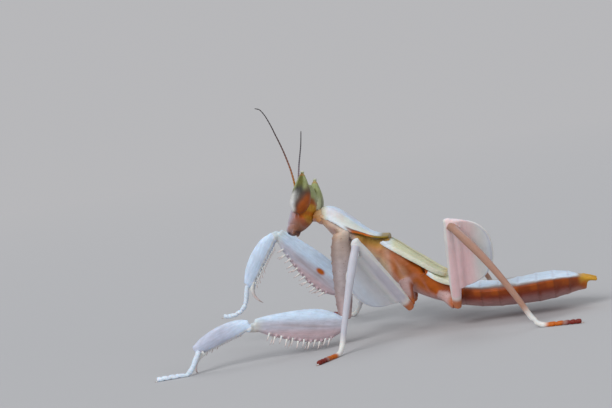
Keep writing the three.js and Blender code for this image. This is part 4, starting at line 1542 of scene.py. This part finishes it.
class MANTIS_OT_legs(bpy.types.Operator):
    """Six legs, each in one skin, with their spines and claws"""

    bl_idname = "mantis.legs"
    bl_label = "Legs"

    def execute(self, context):
        grainy = {"rough": (0.36, 0.54), "streak": 0.14, "fleck": 0.04, "bump": 0.5}
        even = {"rough": (0.38, 0.54), "cloud": 0.04, "streak": 0.04, "fleck": 0.03, "bump": 0.25}
        fore_finish = cuticle("Fore_Leg", scatter=0.35, **grainy)
        finish = cuticle("Leg", scatter=0.35, **even)
        thorn = cuticle("Thorn", rough=(0.28, 0.42), streak=0.05, scatter=0.2, bump=0.15)
        for name in LEGS:
            joints = limb_map(name)
            nodes = [part + "_" + name for part in ("femur", "tibia", "tarsus")]
            fore = name.startswith("fore")
            bend = meeting(nodes[0], nodes[1]) if fore else joints["knee"]
            ball, spread = FORE_KNEE if fore else KNEE
            plugs = [(joints["trochanter"], ball), (bend, ball), (joints["ankle"], ANKLE[0])]

            def trim(piece):
                blunt(piece)
                if piece.name.startswith("tibia"):
                    draw_in_claw(piece, joints)

            settings = {"swell": 0.03, "smooth": 5, "trim": trim if fore else None, "plugs": plugs}
            piece = skin("leg_" + name, nodes, sizes().leg_grain, **settings)
            weld(piece, [(bend, spread), (joints["ankle"], ANKLE[1])], times=16)
            labels = nearest_part(places(piece), nodes)
            pinch_knuckles(piece, labels, joints)
            if not fore:
                thin_lobe(piece, labels, joints)
            paint, lay = leg_paint(name, piece, joints, labels)
            set_down(piece, paint, lay, fore_finish if fore else finish, "cuticle", *nodes)
            if fore:
                spines = fore_spines(nodes, joints)
                made, shares = spine_set("spine_" + name, spines, sizes().spine_root, curl=0.15)
                path = claw_path(joints)
                radii = 0.3 * (1 - np.linspace(0, 1, len(path)) ** 1.6) + 0.015
                claw, along = tube("claw_" + name, path, radii, facets=14)
                set_thorns("spines_" + name, made + [claw], shares + [along], thorn, "cuticle", "petal")
            made, shares = spine_set("foot_" + name, claw_entries(joints, name), root=0.09, curl=0.3)
            set_thorns("claws_" + name, made, shares, thorn, "amber", "milk" if fore else "amber", 0.3)
        return {"FINISHED"}


# ---------------------------------------------------------------- stage

# Name, place that the light comes from, strength, spread in degrees and tint.
LAMPS = (
    ("key_lamp", (-0.45, -0.85, 0.65), 1.9, 30, (1, 1, 1)),
    ("top_lamp", (0.15, 0.45, 0.9), 0.45, 40, (0.93, 0.97, 1.0)),
    ("fill_lamp", (0.7, -0.7, 0.5), 0.55, 40, (1.0, 0.98, 0.95)),
)
SKY_TINT, SKY_STRENGTH = (0.94, 0.97, 1.0, 1), 0.42
FLOOR_RADIUS, FADE_START, FADE_END = 2.0, 0.07, 0.45
TARGET_FROM_NECK = Vector((-0.81, -1.65, 1.81))


def turned_to(way):
    """The turn that points a lamp or a camera along a direction."""
    return way.to_track_quat("-Z", "Y").to_matrix()


def sun(name, place, strength, spread, tint):
    """A soft far light that shines from the side of a place."""
    deselect()
    bpy.ops.object.light_add(type="SUN", location=place)
    lamp = bpy.context.object
    lamp.name = name
    lamp.rotation_euler = turned_to(-Vector(place)).to_euler()
    lamp.data.energy = strength * sizes().light_power
    lamp.data.angle = radians(spread)
    lamp.data.color = tint


def add_floor(tone):
    """A plain floor. Far out it takes the backdrop's even tone, so that no horizon shows."""
    deselect()
    bpy.ops.mesh.primitive_circle_add(vertices=96, radius=FLOOR_RADIUS, fill_type="NGON")
    floor = bpy.context.object
    floor.name = "floor"
    finish = Finish("Backdrop")
    finish.feed(finish.shader, {"Base Color": tone, "Roughness": 0.9, "Specular IOR Level": 0.1})
    place = finish.node("ShaderNodeTexCoord").outputs["Object"]
    reach = finish.node("ShaderNodeVectorMath", {0: place}, operation="LENGTH").outputs["Value"]
    far = finish.span(reach, FADE_START, FADE_END, 0.0, 1.0)
    even = finish.node("ShaderNodeEmission", {"Color": tone, "Strength": 1.0})
    share = finish.times(far, finish.seen_directly())
    finish.blend(share, finish.shader, even, "Material Output")
    floor.data.materials.append(finish.material)


def light_up(scene, tone):
    """An even sky that lights the model, the backdrop's tone where it is seen directly, and the lamps."""
    scene.world = bpy.data.worlds.new("Studio")
    sky = Graph(scene.world)
    light = sky.nodes["Background"]
    sky.feed(light, {"Color": SKY_TINT, "Strength": SKY_STRENGTH})
    plain = sky.node("ShaderNodeBackground", {"Color": tone})
    sky.blend(sky.seen_directly(), light, plain, "World Output")
    for lamp in LAMPS:
        sun(*lamp)


def add_camera(scene):
    size = sizes()
    target = (middle("neck") + TARGET_FROM_NECK) * MILLI
    turn = Matrix.Rotation(size.camera_azimuth, 3, "Z")
    away = turn @ Vector((0, -cos(size.camera_elevation), sin(size.camera_elevation)))
    deselect()
    bpy.ops.object.camera_add(location=target + away * size.camera_distance)
    camera = bpy.context.object
    camera.name = "camera"
    camera.rotation_euler = (turned_to(-away) @ Matrix.Rotation(size.camera_roll, 3, "Z")).to_euler()
    camera.data.lens = size.camera_lens
    camera.data.sensor_width = 36
    camera.data.clip_start = 0.01
    scene.camera = camera


class MANTIS_OT_stage(bpy.types.Operator):
    """Pale floor that fades into an even backdrop, soft lamps and the camera"""

    bl_idname = "mantis.stage"
    bl_label = "Stage"

    def execute(self, context):
        tone = (*colour("backdrop"), 1)
        add_floor(tone)
        light_up(context.scene, tone)
        add_camera(context.scene)
        context.scene.view_settings.view_transform = "Standard"
        return {"FINISHED"}


# ---------------------------------------------------------------- panel and main

OPERATORS = (
    MANTIS_OT_stage,
    MANTIS_OT_head,
    MANTIS_OT_eyes,
    MANTIS_OT_feelers,
    MANTIS_OT_body,
    MANTIS_OT_shield,
    MANTIS_OT_pads,
    MANTIS_OT_legs,
)


class MANTIS_PT_panel(bpy.types.Panel):
    """Sizes, colours and pieces of the mantis"""

    bl_idname = "MANTIS_PT_panel"
    bl_label = "Orchid Mantis Nymph"
    bl_space_type = "VIEW_3D"
    bl_region_type = "UI"
    bl_category = "Mantis"

    def draw(self, context):
        for group in (context.scene.mantis_sizes, context.scene.mantis_colours):
            rows = self.layout.column(align=True)
            for key in group.__annotations__:
                rows.prop(group, key)
        rows = self.layout.column(align=True)
        for operator in OPERATORS:
            rows.operator(operator.bl_idname)


CLASSES = (MantisColours, MantisSizes, *OPERATORS, MANTIS_PT_panel)


def register():
    for cls in CLASSES:
        bpy.utils.register_class(cls)
    bpy.types.Scene.mantis_colours = PointerProperty(type=MantisColours)
    bpy.types.Scene.mantis_sizes = PointerProperty(type=MantisSizes)


def unregister():
    del bpy.types.Scene.mantis_sizes
    del bpy.types.Scene.mantis_colours
    for cls in reversed(CLASSES):
        bpy.utils.unregister_class(cls)


def main():
    register()
    bpy.ops.mantis.stage()
    bpy.ops.mantis.head()
    bpy.ops.mantis.eyes()
    bpy.ops.mantis.feelers()
    bpy.ops.mantis.body()
    bpy.ops.mantis.shield()
    bpy.ops.mantis.pads()
    bpy.ops.mantis.legs()


if __name__ == "__main__":
    main()
